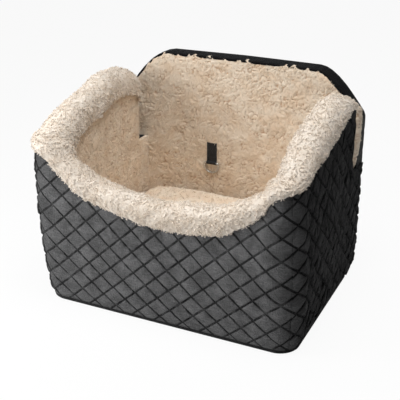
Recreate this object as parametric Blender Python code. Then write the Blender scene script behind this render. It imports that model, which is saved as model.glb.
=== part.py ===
"""Booster car seat for a small dog: foam walls on a foam platform, a quilted zip-off cover,
fleece lining and thick fleece cuffs over the rim, and a tall backrest with two car-belt slots.

Metres, +Z up, the front towards -Y. The origin is the middle of the underside.
"""
import math

import bmesh
import bpy
import numpy as np
from mathutils import Matrix, Vector

# Overall size
SEAT_WIDTH = 0.560
BASE_DEPTH = 0.422
BACK_HEIGHT = 0.465
FRONT_LOW_HEIGHT = 0.218
CORNER_HEIGHT = 0.338
SIDE_HEIGHT = 0.408
FRONT_LEAN_REACH = 0.023
CORNER_RADIUS = 0.042
INNER_CORNER_RADIUS = 0.016
REAR_BOTTOM_RADIUS = 0.060
PLATFORM_HEIGHT = 0.100

# Layers of a wall
GAP = 0.0003
COVER_THICKNESS = 0.004
WALL_FOAM = 0.038
BACK_FOAM = 0.034
LINING_THICKNESS = 0.009
FLOOR_LINING_THICKNESS = 0.003
BOTTOM_THICKNESS = 0.006
WELT_RADIUS = 0.003
WELT_REAR_RADIUS = 0.015

# Fleece cuff over the rim
CUFF_RISE = 0.050
CUFF_TOP_THICKNESS = 0.012
CUFF_OVERHANG = 0.006
CUFF_INNER_DROP = 0.055
CUFF_ROUND_HEIGHT = 0.038
CUFF_SEAT_GAP = 0.0008
CUFF_POWER = 2.6
CUFF_ROUND_STEPS = 5
CUFF_ROUND_SHARE = 0.85

# Car-belt slots beside the backrest
SLOT_WIDTH = 0.044
SLOT_FLOOR_HEIGHT = 0.257
BINDING_THICKNESS = 0.004

# Backrest corner
BACK_CORNER_WIDTH = 0.105
BACK_CORNER_DROP = 0.100

# Seat cushion
CUSHION_HEIGHT = 0.062
CUSHION_SEAM_HEIGHT = 0.024
CUSHION_CLEARANCE = 0.004
CUSHION_FRONT_CLEARANCE = 0.008
CUSHION_DRAW_SHARE = 0.035
CUSHION_FLAT_SHARE = 1.35
CUSHION_SWELL_POWER = 3
CUSHION_CELLS_X = 22
CUSHION_CELLS_Y = 16

# Zip across the rear
ZIP_HEIGHT = 0.097
ZIP_WINDOW_HALF = 0.013
ZIP_SPLIT_HALF = 0.0009
ZIP_TOOTH_HEIGHT = 0.0022
ZIP_TOOTH_DEPTH = 0.0022
ZIP_TAPE_THICKNESS = 0.001
ZIP_END_INSET = 0.008
ZIP_STOP_LENGTH = 0.004
ZIP_BACK_ROOM = 0.0011
SLIDER_LENGTH = 0.013
SLIDER_HALF_HEIGHT = 0.0055
SLIDER_PLATE = 0.0014
SLIDER_BACK_PLATE = 0.001
SLIDER_POST_HALF = 0.0006
SLIDER_POST_LENGTH = 0.003
SLIDER_EAR_THICKNESS = 0.001
SLIDER_EAR_HALF_HEIGHT = 0.0017
PULL_WIDTH = 0.006
PULL_LENGTH = 0.027
PULL_THICKNESS = 0.0016
PULL_EYE_RADIUS = 0.002
PULL_BAR_RADIUS = 0.0008
PULL_RUNNING_GAP = 0.0003
PULL_LIFT = 0.0005

# Safety-tether anchor on the backrest
TETHER_X = -0.060
TETHER_HEIGHT = 0.216
WEBBING_WIDTH = 0.024
WEBBING_THICKNESS = 0.0015
WEBBING_LENGTH = 0.048
RING_WIRE_RADIUS = 0.002
RING_RUNNING_GAP = 0.0004
RING_WIDTH = 0.036
RING_DROP = 0.024
RING_CORNER = 0.005

# Heights along the front: share of the half width, share of the way from the low middle to the
# corner height, share of the cuff's full rise
FRONT_SHARES = (
    (0.00, 0.000, 1.00), (0.11, 0.012, 1.00), (0.22, 0.050, 1.00), (0.38, 0.125, 1.00),
    (0.507, 0.190, 1.00), (0.564, 0.250, 0.99), (0.625, 0.350, 0.96), (0.70, 0.483, 0.88),
    (0.771, 0.625, 0.74), (0.807, 0.767, 0.64), (0.854, 0.917, 0.50), (0.90, 1.000, 0.38),
    (1.00, 1.000, 0.36),
)
# Heights along a side: share of the wall's run from its front corner, share of the way from the
# corner height to the side height, share of the cuff's full rise
SIDE_SHARES = (
    (0.000, 0.000, 0.36), (0.035, 0.000, 0.36), (0.119, 0.150, 0.52), (0.309, 0.400, 0.78),
    (0.496, 0.586, 0.90), (0.650, 0.757, 0.94), (0.766, 0.900, 0.82), (0.893, 0.993, 0.60),
    (0.956, 1.000, 0.46), (1.000, 0.957, 0.34),
)
FRONT_STATION_SHARES = (0.0, 0.18, 0.35, 0.50, 0.62, 0.72, 0.80, 0.865, 0.93, 1.0)
SIDE_STATION_SHARES = (0.0, 0.25, 0.48, 0.66, 0.83, 0.94, 1.0)
# Backrest corner, from the side up to the top: share of the corner's width, share of its drop
BACK_CORNER_SHARES = (
    (0.00, 0.00), (0.03, 0.09), (0.11, 0.20), (0.26, 0.40), (0.43, 0.615), (0.60, 0.79),
    (0.76, 0.915), (0.88, 0.975), (1.00, 1.00),
)
BACK_TOP_CROWN = 0.002

# Fineness of the round and soft pieces
ROUND_SIDES = 12
LOOP_STEPS = 14
PULL_EYE_STEPS = 17
RING_CORNER_STEPS = 4
RING_BOW_STEPS = 7
SMOOTH_ANGLE = math.radians(50.0)
WELD_DISTANCE = 0.0001

CORNER_STEP_ANGLES = tuple(math.radians(a) for a in (0.0, 15.0, 30.0, 45.0, 60.0, 75.0, 90.0))
MITER_ANGLE = math.radians(45.0)
ARC_ANGLES = tuple(math.radians(a) for a in (0.0, 11.25, 22.5, 33.75, 45.0, 56.25, 67.5, 78.75, 90.0))

# Places worked out from the sizes above
HALF_WIDTH = SEAT_WIDTH / 2
FRONT_Y = -BASE_DEPTH / 2
REAR_Y = BASE_DEPTH / 2
FOAM_OUT = COVER_THICKNESS + GAP
FOAM_IN = FOAM_OUT + WALL_FOAM
LINING_OUT = FOAM_IN + GAP
LINING_IN = LINING_OUT + LINING_THICKNESS
CUFF_IN = LINING_IN + CUFF_OVERHANG
COVER_BACK_FRONT_Y = REAR_Y - COVER_THICKNESS
BACK_FOAM_REAR_Y = COVER_BACK_FRONT_Y - ZIP_BACK_ROOM
BACK_FOAM_FRONT_Y = BACK_FOAM_REAR_Y - BACK_FOAM
BACK_LINING_REAR_Y = BACK_FOAM_FRONT_Y - GAP
BACK_LINING_FRONT_Y = BACK_LINING_REAR_Y - LINING_THICKNESS
WALL_END_Y = BACK_LINING_FRONT_Y - SLOT_WIDTH
FOAM_END_Y = WALL_END_Y - BINDING_THICKNESS - GAP
ARC_CENTRE_Y = REAR_Y - REAR_BOTTOM_RADIUS
ARC_INNER_RADIUS = REAR_BOTTOM_RADIUS - COVER_THICKNESS - GAP
WELT_HEIGHT = WELT_RADIUS + GAP
ABOVE_WELT = WELT_HEIGHT + WELT_RADIUS + GAP
ABOVE_PLATFORM = PLATFORM_HEIGHT + GAP
CORNER_FACE_Y = FRONT_Y - FRONT_LEAN_REACH
INNER_CORNER_END = CUFF_IN + INNER_CORNER_RADIUS + GAP
CUSHION_BOTTOM = ABOVE_PLATFORM + FLOOR_LINING_THICKNESS + GAP
EYE_HOLE_RADIUS = PULL_BAR_RADIUS + PULL_RUNNING_GAP
LOOP_HOLE_RADIUS = RING_WIRE_RADIUS + RING_RUNNING_GAP
LOOP_RADIUS = LOOP_HOLE_RADIUS + WEBBING_THICKNESS
RING_AXIS_Y = BACK_LINING_FRONT_Y - GAP - LOOP_RADIUS
CUSHION_REAR_Y = RING_AXIS_Y - LOOP_RADIUS - CUSHION_CLEARANCE / 2


def make_collection(name):
    """Add a collection to the scene and give it back."""
    collection = bpy.data.collections.new(name)
    bpy.context.scene.collection.children.link(collection)
    return collection


def make_material(name, colour, roughness, metallic=0.0):
    """Make a Principled material of one colour."""
    material = bpy.data.materials.new(name)
    material.use_nodes = True
    shader = material.node_tree.nodes["Principled BSDF"]
    shader.inputs["Base Color"].default_value = (*colour, 1.0)
    shader.inputs["Roughness"].default_value = roughness
    shader.inputs["Metallic"].default_value = metallic
    return material


def add_object(name, data, collection, material):
    """Put mesh or curve data in the scene as one named sub-part with its own material."""
    item = bpy.data.objects.new(name, data)
    collection.objects.link(item)
    own = material.copy()
    own.name = name + "_finish"
    data.materials.append(own)
    return item


def mesh_from_faces(name, points, faces):
    """Make a mesh from points and faces with its normals facing out."""
    bm = bmesh.new()
    verts = [bm.verts.new(p) for p in points]
    for face in faces:
        bm.faces.new([verts[i] for i in face])
    bmesh.ops.recalc_face_normals(bm, faces=bm.faces)
    mesh = bpy.data.meshes.new(name)
    bm.to_mesh(mesh)
    bm.free()
    return mesh


def smooth_shade(mesh):
    """Shade a soft or round piece smooth, with its sharp edges kept."""
    mesh.shade_smooth()
    mesh.set_sharp_from_angle(angle=SMOOTH_ANGLE)


def loft(name, rings):
    """Join closed rings of equal count into a capped solid, each side split the same way."""
    count = len(rings[0])
    points = [p for ring in rings for p in ring]
    faces = []
    for r in range(len(rings) - 1):
        for i in range(count):
            j = (i + 1) % count
            faces.append((r * count + i, r * count + j, (r + 1) * count + j))
            faces.append((r * count + i, (r + 1) * count + j, (r + 1) * count + i))
    faces.append(tuple(range(count)))
    faces.append(tuple((len(rings) - 1) * count + i for i in range(count)))
    return mesh_from_faces(name, points, faces)


def flat_outline(name, outlines, width):
    """Extrude a flat outline, with any holes after it, to a solid of the given width."""
    curve = bpy.data.curves.new(name, "CURVE")
    curve.dimensions = "2D"
    curve.fill_mode = "BOTH"
    curve.extrude = width / 2
    for outline in outlines:
        spline = curve.splines.new("POLY")
        spline.points.add(len(outline) - 1)
        for point, (across, up) in zip(spline.points, outline):
            point.co = (across, up, 0.0, 1.0)
        spline.use_cyclic_u = True
    return curve


def stand_facing_front(item, middle_y):
    """Stand a flat outline up so that it reads (x, z) and its width runs along Y."""
    item.rotation_euler = (math.radians(90.0), 0.0, 0.0)
    item.location = (0.0, middle_y, 0.0)


def stand_facing_side(item, middle_x, y=0.0, z=0.0):
    """Stand a flat outline up so that it reads (y, z) and its width runs along X."""
    item.rotation_euler = (math.radians(90.0), 0.0, math.radians(90.0))
    item.location = (middle_x, y, z)


def box_mesh(name, low, high):
    """Make a box between two corners."""
    bm = bmesh.new()
    bmesh.ops.create_cube(bm, size=1.0)
    low, high = Vector(low), Vector(high)
    for vert in bm.verts:
        vert.co = [(low[i] + high[i]) / 2 + vert.co[i] * (high[i] - low[i]) for i in range(3)]
    mesh = bpy.data.meshes.new(name)
    bm.to_mesh(mesh)
    bm.free()
    return mesh


def bar_mesh(name, radius, half_length, y):
    """Make a round bar along X, centred at a place along Y."""
    bm = bmesh.new()
    lie = Matrix.Translation((0.0, y, 0.0)) @ Matrix.Rotation(math.radians(90.0), 4, "Y")
    bmesh.ops.create_cone(bm, cap_ends=True, segments=ROUND_SIDES, radius1=radius, radius2=radius,
                          depth=2 * half_length, matrix=lie)
    mesh = bpy.data.meshes.new(name)
    bm.to_mesh(mesh)
    bm.free()
    return mesh


def circle(radius, steps):
    """Points of a circle about the origin."""
    return [(radius * math.cos(a), radius * math.sin(a))
            for a in np.linspace(0.0, 2 * math.pi, steps, endpoint=False)]


def unite(item, tool_name, tool_mesh, cutters):
    """Fuse a helper shape into a piece with a Boolean union."""
    tool = bpy.data.objects.new(tool_name, tool_mesh)
    tool.location = item.location
    tool.hide_render = True
    tool.display_type = "WIRE"
    cutters.objects.link(tool)
    modifier = item.modifiers.new(tool_name, "BOOLEAN")
    modifier.operation = "UNION"
    modifier.solver = "EXACT"
    modifier.object = tool


def front_face_y(height):
    """Y of the cover's front face, which leans forward as it rises."""
    return FRONT_Y - FRONT_LEAN_REACH * height / CORNER_HEIGHT


def look_up(table, share, column):
    """Read one column of a table of shares, between its rows."""
    return float(np.interp(share, [row[0] for row in table], [row[column] for row in table]))


def front_profile(x):
    """Heights of the black edge and of the cuff's crest at a place across the front."""
    share = abs(x) / HALF_WIDTH
    edge = FRONT_LOW_HEIGHT + (CORNER_HEIGHT - FRONT_LOW_HEIGHT) * look_up(FRONT_SHARES, share, 1)
    return edge, edge + CUFF_RISE * look_up(FRONT_SHARES, share, 2)


def side_profile(y):
    """Heights of the black edge and of the cuff's crest at a place along a side."""
    share = (y - CORNER_FACE_Y) / (WALL_END_Y - CORNER_FACE_Y)
    edge = CORNER_HEIGHT + (SIDE_HEIGHT - CORNER_HEIGHT) * look_up(SIDE_SHARES, share, 1)
    return edge, edge + CUFF_RISE * look_up(SIDE_SHARES, share, 2)


class Column:
    """One upright station of the wall: it turns an inset from the cover and a height into a point."""

    def __init__(self, side, kind, value, edge, crest, shift=0.0):
        self.side = side
        self.kind = kind
        self.value = value
        self.edge = edge
        self.crest = crest
        self.shift = shift

    def point(self, inset, height):
        """Place of the wall's surface at an inset from the cover's outer face."""
        half = HALF_WIDTH - inset
        if self.kind == "side":
            return Vector((self.side * half, self.value, height))
        if self.kind == "front":
            return Vector((self.value, front_face_y(height) + inset, height))
        radius = max(CORNER_RADIUS - inset, INNER_CORNER_RADIUS)
        sine, cosine = math.sin(self.value), math.cos(self.value)
        x = half - radius + radius * sine + self.shift * cosine
        y = front_face_y(height) + inset + radius - radius * cosine + self.shift * sine
        return Vector((self.side * x, y, height))


def corner_column(side, angle, shift=0.0):
    """A column in a front corner, with its heights read on the cover's outer face."""
    if angle >= MITER_ANGLE:
        edge, crest = side_profile(CORNER_FACE_Y + CORNER_RADIUS - CORNER_RADIUS * math.cos(angle))
    else:
        edge, crest = front_profile(HALF_WIDTH - CORNER_RADIUS + CORNER_RADIUS * math.sin(angle))
    return Column(side, "corner", angle, edge, crest, shift)


def side_stations():
    """Y of each column along a side wall."""
    first = FRONT_Y + INNER_CORNER_END
    return [first + share * (WALL_END_Y - first) for share in SIDE_STATION_SHARES]


def station_profile(y):
    """Heights along a side, straight between its columns, so that all layers agree."""
    stations = side_stations()
    heights = [side_profile(station) for station in stations]
    return tuple(float(np.interp(y, stations, [h[i] for h in heights])) for i in range(2))


def side_columns(side, end_y):
    """Columns of a side wall from the corner's mitre back to where the layer ends."""
    columns = [corner_column(side, MITER_ANGLE, GAP / 2)]
    columns += [corner_column(side, angle) for angle in CORNER_STEP_ANGLES if angle > MITER_ANGLE]
    places = [y for y in side_stations() if y < end_y - GAP] + [end_y]
    columns += [Column(side, "side", y, *station_profile(y)) for y in places]
    return columns


def front_columns():
    """Columns of the front wall from the left mitre to the right one."""
    left = [corner_column(-1, MITER_ANGLE, -GAP / 2)]
    left += [corner_column(-1, angle) for angle in reversed(CORNER_STEP_ANGLES) if angle < MITER_ANGLE]
    right = [corner_column(1, angle) for angle in CORNER_STEP_ANGLES if angle < MITER_ANGLE]
    right += [corner_column(1, MITER_ANGLE, -GAP / 2)]
    reach = HALF_WIDTH - INNER_CORNER_END
    places = [-reach * share for share in reversed(FRONT_STATION_SHARES)]
    places += [reach * share for share in FRONT_STATION_SHARES[1:]]
    return left + [Column(1, "front", x, *front_profile(x)) for x in places] + right


def panel(name, columns, outer, inner):
    """A wall layer: each entry is a column and its levels, and a shorter entry makes a step."""
    points, index, cells = [], {}, []
    for layer, inset in enumerate((outer, inner)):
        for c, (column, levels) in enumerate(columns):
            for r, height in enumerate(levels):
                index[layer, c, r] = len(points)
                points.append(column.point(inset, height))
    for c in range(len(columns) - 1):
        for r in range(min(len(columns[c][1]), len(columns[c + 1][1])) - 1):
            cells.append(((c, r), (c + 1, r), (c + 1, r + 1), (c, r + 1)))
    faces, rims = [], {}
    for cell in cells:
        faces.append([index[0, c, r] for c, r in cell])
        faces.append([index[1, c, r] for c, r in reversed(cell)])
        for start, end in zip(cell, cell[1:] + cell[:1]):
            rims[start, end] = True
    for start, end in rims:
        if (end, start) in rims:
            continue
        out_start, out_end = index[0, *start], index[0, *end]
        in_start, in_end = index[1, *start], index[1, *end]
        if end[0] > start[0]:
            faces += [(out_end, out_start, in_start), (out_end, in_start, in_end)]
        else:
            faces += [(out_end, out_start, in_end), (out_start, in_start, in_end)]
    return mesh_from_faces(name, points, faces)


def arc_outline(radius):
    """Points of the rounded lower rear edge at a radius, from the underside to the rear."""
    return [(ARC_CENTRE_Y + radius * math.sin(a), REAR_BOTTOM_RADIUS - radius * math.cos(a))
            for a in ARC_ANGLES]


def arc_floor(y):
    """Lowest height inside the rounded lower rear edge at a place along Y."""
    outline = arc_outline(ARC_INNER_RADIUS)
    return float(np.interp(y, [p[0] for p in outline], [p[1] for p in outline]))


def arc_rear(height):
    """Rearmost Y inside the rounded lower rear edge at a height."""
    outline = arc_outline(ARC_INNER_RADIUS)
    return float(np.interp(height, [p[1] for p in outline], [p[0] for p in outline]))


def lower_rear_columns(side, start_y, end_y, top):
    """Columns of the low part of a side layer, below the belt slot and back to the backrest."""
    breaks = [y for y, _ in arc_outline(ARC_INNER_RADIUS) if start_y + GAP < y < end_y - GAP]
    places = breaks + [end_y]
    return [(Column(side, "side", y, top, top), (max(ABOVE_WELT, arc_floor(y)), top)) for y in places]


def plan_ring(inset, height, rear_y, rear_radius=0.0):
    """A closed ring round the seat at one height, with the front corners rounded."""
    ring = []
    for side, angles in ((-1, tuple(reversed(CORNER_STEP_ANGLES))), (1, CORNER_STEP_ANGLES)):
        ring += [Column(side, "corner", angle, 0.0, 0.0).point(inset, height) for angle in angles]
    half = HALF_WIDTH - inset
    if not rear_radius:
        return ring + [Vector((half, rear_y, height)), Vector((-half, rear_y, height))]
    for side, angles in ((1, CORNER_STEP_ANGLES), (-1, tuple(reversed(CORNER_STEP_ANGLES)))):
        for angle in angles:
            x = half - rear_radius + rear_radius * math.cos(angle)
            ring.append(Vector((side * x, rear_y - rear_radius + rear_radius * math.sin(angle), height)))
    return ring


def cuff_ring(column):
    """Section of the fleece cuff over the rim: rounded outside, hollow where the foam stands."""
    low_out = column.edge + CUFF_SEAT_GAP
    low_in = column.crest - CUFF_INNER_DROP
    seat = column.crest - CUFF_TOP_THICKNESS + CUFF_SEAT_GAP
    middle = (CUFF_IN - CUFF_OVERHANG) / 2
    reach = (CUFF_IN + CUFF_OVERHANG) / 2
    rise_out = min(CUFF_ROUND_HEIGHT, CUFF_ROUND_SHARE * (column.crest - low_out))
    section = [(COVER_THICKNESS, low_out), (0.0, low_out), (middle - reach, low_out)]
    for step in range(2 * CUFF_ROUND_STEPS + 1):
        turn = math.pi * step / (2 * CUFF_ROUND_STEPS)
        rise = rise_out if 2 * turn < math.pi else CUFF_ROUND_HEIGHT
        across = math.copysign(abs(math.cos(turn)) ** (2 / CUFF_POWER), math.cos(turn))
        up = max(math.sin(turn), 0.0) ** (2 / CUFF_POWER)
        section.append((middle - reach * across, column.crest - rise + rise * up))
    section += [(CUFF_IN, low_in), (LINING_IN, low_in), (LINING_OUT, low_in)]
    section += [(LINING_OUT, seat), (COVER_THICKNESS, seat)]
    return [column.point(inset, height) for inset, height in section]


def back_outline(inset, foot):
    """Outline (x, z) of the backrest at an inset, from its left foot over the top to its right."""
    half, top = HALF_WIDTH, BACK_HEIGHT - BACK_TOP_CROWN
    right = [(half, foot)]
    for across, up in BACK_CORNER_SHARES:
        right.append((half - BACK_CORNER_WIDTH * across, top - BACK_CORNER_DROP * (1.0 - up)))
    outer = [(-x, z) for x, z in right] + [(0.0, BACK_HEIGHT)] + list(reversed(right))
    if not inset:
        return outer
    inner = []
    for i, here in enumerate(outer):
        before = outer[max(i - 1, 0)]
        after = outer[min(i + 1, len(outer) - 1)]
        normals = []
        for start, end in ((before, here), (here, after)):
            run = Vector((end[0] - start[0], end[1] - start[1]))
            if run.length:
                run.normalize()
                normals.append(Vector((run.y, -run.x)))
        total = sum(normals, Vector((0.0, 0.0)))
        total.normalize()
        reach = inset / total.dot(normals[0])
        inner.append((here[0] + total.x * reach, here[1] + total.y * reach))
    return inner


def build_foam(parts, foam):
    """The foam platform and the four foam walls."""
    base_rear = BACK_FOAM_FRONT_Y - GAP
    rear_level = max(ABOVE_WELT + GAP, arc_floor(base_rear))
    rings = [plan_ring(LINING_OUT, height, min(base_rear, arc_rear(height)))
             for height in (ABOVE_WELT, rear_level, PLATFORM_HEIGHT)]
    add_object("foam_base", loft("foam_base", rings), parts, foam)

    entries = [(c, (ABOVE_WELT, c.crest - CUFF_TOP_THICKNESS)) for c in front_columns()]
    add_object("foam_front", panel("foam_front", entries, FOAM_OUT, FOAM_IN), parts, foam)

    shelf = SLOT_FLOOR_HEIGHT - BINDING_THICKNESS - GAP
    for side, name in ((-1, "foam_left"), (1, "foam_right")):
        entries = [(c, (ABOVE_WELT, shelf, c.crest - CUFF_TOP_THICKNESS))
                   for c in side_columns(side, FOAM_END_Y)]
        entries += lower_rear_columns(side, FOAM_END_Y, base_rear, shelf)
        add_object(name, panel(name, entries, FOAM_OUT, FOAM_IN), parts, foam)

    places = [BACK_FOAM_FRONT_Y]
    places += [y for y, _ in arc_outline(ARC_INNER_RADIUS) if BACK_FOAM_FRONT_Y < y < BACK_FOAM_REAR_Y]
    rings = []
    for y in places + [BACK_FOAM_REAR_Y]:
        rings.append([Vector((x, y, z)) for x, z in back_outline(FOAM_OUT, arc_floor(y))])
    add_object("foam_back", loft("foam_back", rings), parts, foam)


def build_cover(parts, quilted, piping):
    """The quilted cover: three wall panels, the rear in two, the bottom, piping and border."""
    entries = [(c, (ABOVE_WELT, c.edge)) for c in front_columns()]
    add_object("cover_front", panel("cover_front", entries, 0.0, COVER_THICKNESS), parts, quilted)
    for side, name in ((-1, "cover_left"), (1, "cover_right")):
        entries = [(c, (ABOVE_WELT, SLOT_FLOOR_HEIGHT, c.edge)) for c in side_columns(side, WALL_END_Y)]
        entries += lower_rear_columns(side, WALL_END_Y, COVER_BACK_FRONT_Y - GAP, SLOT_FLOOR_HEIGHT)
        add_object(name, panel(name, entries, 0.0, COVER_THICKNESS), parts, quilted)

    foot = ZIP_HEIGHT + ZIP_WINDOW_HALF
    item = add_object("cover_back_upper", flat_outline("cover_back_upper", [back_outline(0.0, foot)],
                      COVER_THICKNESS), parts, quilted)
    stand_facing_front(item, REAR_Y - COVER_THICKNESS / 2)

    start = math.asin((WELT_RADIUS + 2 * GAP) / (REAR_BOTTOM_RADIUS - COVER_THICKNESS))
    angles = [start] + [a for a in ARC_ANGLES if a > start]
    sheet = []
    for radius in (REAR_BOTTOM_RADIUS, REAR_BOTTOM_RADIUS - COVER_THICKNESS):
        sheet.append([(ARC_CENTRE_Y + radius * math.sin(a), REAR_BOTTOM_RADIUS - radius * math.cos(a))
                      for a in angles])
    top = ZIP_HEIGHT - ZIP_WINDOW_HALF
    outline = sheet[0] + [(REAR_Y, top), (COVER_BACK_FRONT_Y, top)] + list(reversed(sheet[1]))
    item = add_object("cover_back_lower", flat_outline("cover_back_lower", [outline], SEAT_WIDTH),
                      parts, quilted)
    stand_facing_side(item, 0.0)

    inset = 2 * WELT_RADIUS + GAP
    rear = ARC_CENTRE_Y - WELT_RADIUS - GAP
    rings = [plan_ring(inset, height, rear, WELT_REAR_RADIUS - inset) for height in (0.0, BOTTOM_THICKNESS)]
    add_object("bottom_panel", loft("bottom_panel", rings), parts, quilted)

    curve = bpy.data.curves.new("bottom_welt", "CURVE")
    curve.dimensions = "3D"
    curve.bevel_depth = WELT_RADIUS
    curve.bevel_resolution = 1
    ring = plan_ring(WELT_RADIUS, WELT_HEIGHT, ARC_CENTRE_Y, WELT_REAR_RADIUS - WELT_RADIUS)
    spline = curve.splines.new("POLY")
    spline.points.add(len(ring) - 1)
    for point, place in zip(spline.points, ring):
        point.co = (*place, 1.0)
    spline.use_cyclic_u = True
    add_object("bottom_welt", curve, parts, piping)

    foot = SLOT_FLOOR_HEIGHT + GAP
    outline = back_outline(0.0, foot) + list(reversed(back_outline(COVER_THICKNESS, foot)))
    depth = COVER_BACK_FRONT_Y - GAP - BACK_LINING_FRONT_Y
    item = add_object("back_border", flat_outline("back_border", [outline], depth), parts, quilted)
    stand_facing_front(item, BACK_LINING_FRONT_Y + depth / 2)


def build_lining(parts, fleece, binding):
    """The fleece lining panels and the bindings of the belt slots."""
    entries = [(c, (ABOVE_PLATFORM, c.crest - CUFF_INNER_DROP - GAP)) for c in front_columns()]
    add_object("lining_front", panel("lining_front", entries, LINING_OUT, LINING_IN), parts, fleece)
    rear = BACK_LINING_FRONT_Y - GAP
    for side, name in ((-1, "lining_left"), (1, "lining_right")):
        entries = [(c, (ABOVE_PLATFORM, SLOT_FLOOR_HEIGHT, c.crest - CUFF_INNER_DROP - GAP))
                   for c in side_columns(side, WALL_END_Y)]
        entries.append((Column(side, "side", rear, 0.0, 0.0), (ABOVE_PLATFORM, SLOT_FLOOR_HEIGHT)))
        add_object(name, panel(name, entries, LINING_OUT, LINING_IN), parts, fleece)

    foot = SLOT_FLOOR_HEIGHT - BINDING_THICKNESS
    narrow = HALF_WIDTH - LINING_OUT
    outline = [(narrow, foot), (narrow, ABOVE_PLATFORM), (-narrow, ABOVE_PLATFORM), (-narrow, foot)]
    outline += back_outline(FOAM_OUT, foot)
    item = add_object("lining_back", flat_outline("lining_back", [outline], LINING_THICKNESS),
                      parts, fleece)
    stand_facing_front(item, BACK_LINING_FRONT_Y + LINING_THICKNESS / 2)

    rings = [plan_ring(LINING_IN + GAP, height, rear)
             for height in (ABOVE_PLATFORM, ABOVE_PLATFORM + FLOOR_LINING_THICKNESS)]
    add_object("lining_floor", loft("lining_floor", rings), parts, fleece)

    front = WALL_END_Y - BINDING_THICKNESS
    tops = [station_profile(y)[1] - CUFF_TOP_THICKNESS for y in (front, WALL_END_Y)]
    outline = [(front, foot), (rear, foot), (rear, SLOT_FLOOR_HEIGHT), (WALL_END_Y, SLOT_FLOOR_HEIGHT),
               (WALL_END_Y, tops[1]), (front, tops[0])]
    for side, name in ((-1, "belt_slot_binding_left"), (1, "belt_slot_binding_right")):
        item = add_object(name, flat_outline(name, [outline], WALL_FOAM), parts, binding)
        stand_facing_side(item, side * (HALF_WIDTH - FOAM_OUT - WALL_FOAM / 2))


def build_cuffs(parts, fleece):
    """The thick fleece cuffs over the front and side walls."""
    sets = (("cuff_front", front_columns()), ("cuff_left", side_columns(-1, WALL_END_Y)),
            ("cuff_right", side_columns(1, WALL_END_Y)))
    for name, columns in sets:
        mesh = loft(name, [cuff_ring(column) for column in columns])
        smooth_shade(mesh)
        add_object(name, mesh, parts, fleece)


def build_cushion(parts, fleece):
    """The loose seat cushion: a crowned pillow with drawn-in sides and a flat underside."""
    front = front_face_y(CUSHION_BOTTOM) + LINING_IN + CUSHION_FRONT_CLEARANCE
    half_x = HALF_WIDTH - CUFF_IN - CUSHION_CLEARANCE
    half_y = (CUSHION_REAR_Y - front) / 2
    seam = CUSHION_SEAM_HEIGHT
    crown = CUSHION_HEIGHT - seam
    bm = bmesh.new()
    for is_top in (True, False):
        grid = bmesh.ops.create_grid(bm, x_segments=CUSHION_CELLS_X, y_segments=CUSHION_CELLS_Y, size=1.0)
        for vert in grid["verts"]:
            u = math.sin(math.pi / 2 * vert.co.x)
            v = math.sin(math.pi / 2 * vert.co.y)
            fall_u = max(1.0 - abs(u) ** CUSHION_SWELL_POWER, 0.0)
            fall_v = max(1.0 - abs(v) ** CUSHION_SWELL_POWER, 0.0)
            swell = math.sqrt(fall_u * fall_v)
            vert.co.x = half_x * u * (1.0 - CUSHION_DRAW_SHARE * (1.0 - v * v))
            vert.co.y = half_y * v * (1.0 - CUSHION_DRAW_SHARE * (1.0 - u * u))
            vert.co.z = seam + crown * swell if is_top else seam - seam * min(1.0, CUSHION_FLAT_SHARE * swell)
    bmesh.ops.remove_doubles(bm, verts=bm.verts, dist=WELD_DISTANCE)
    bmesh.ops.recalc_face_normals(bm, faces=bm.faces)
    mesh = bpy.data.meshes.new("seat_cushion")
    bm.to_mesh(mesh)
    bm.free()
    smooth_shade(mesh)
    item = add_object("seat_cushion", mesh, parts, fleece)
    item.location = (0.0, (front + CUSHION_REAR_Y) / 2, CUSHION_BOTTOM)


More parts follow.
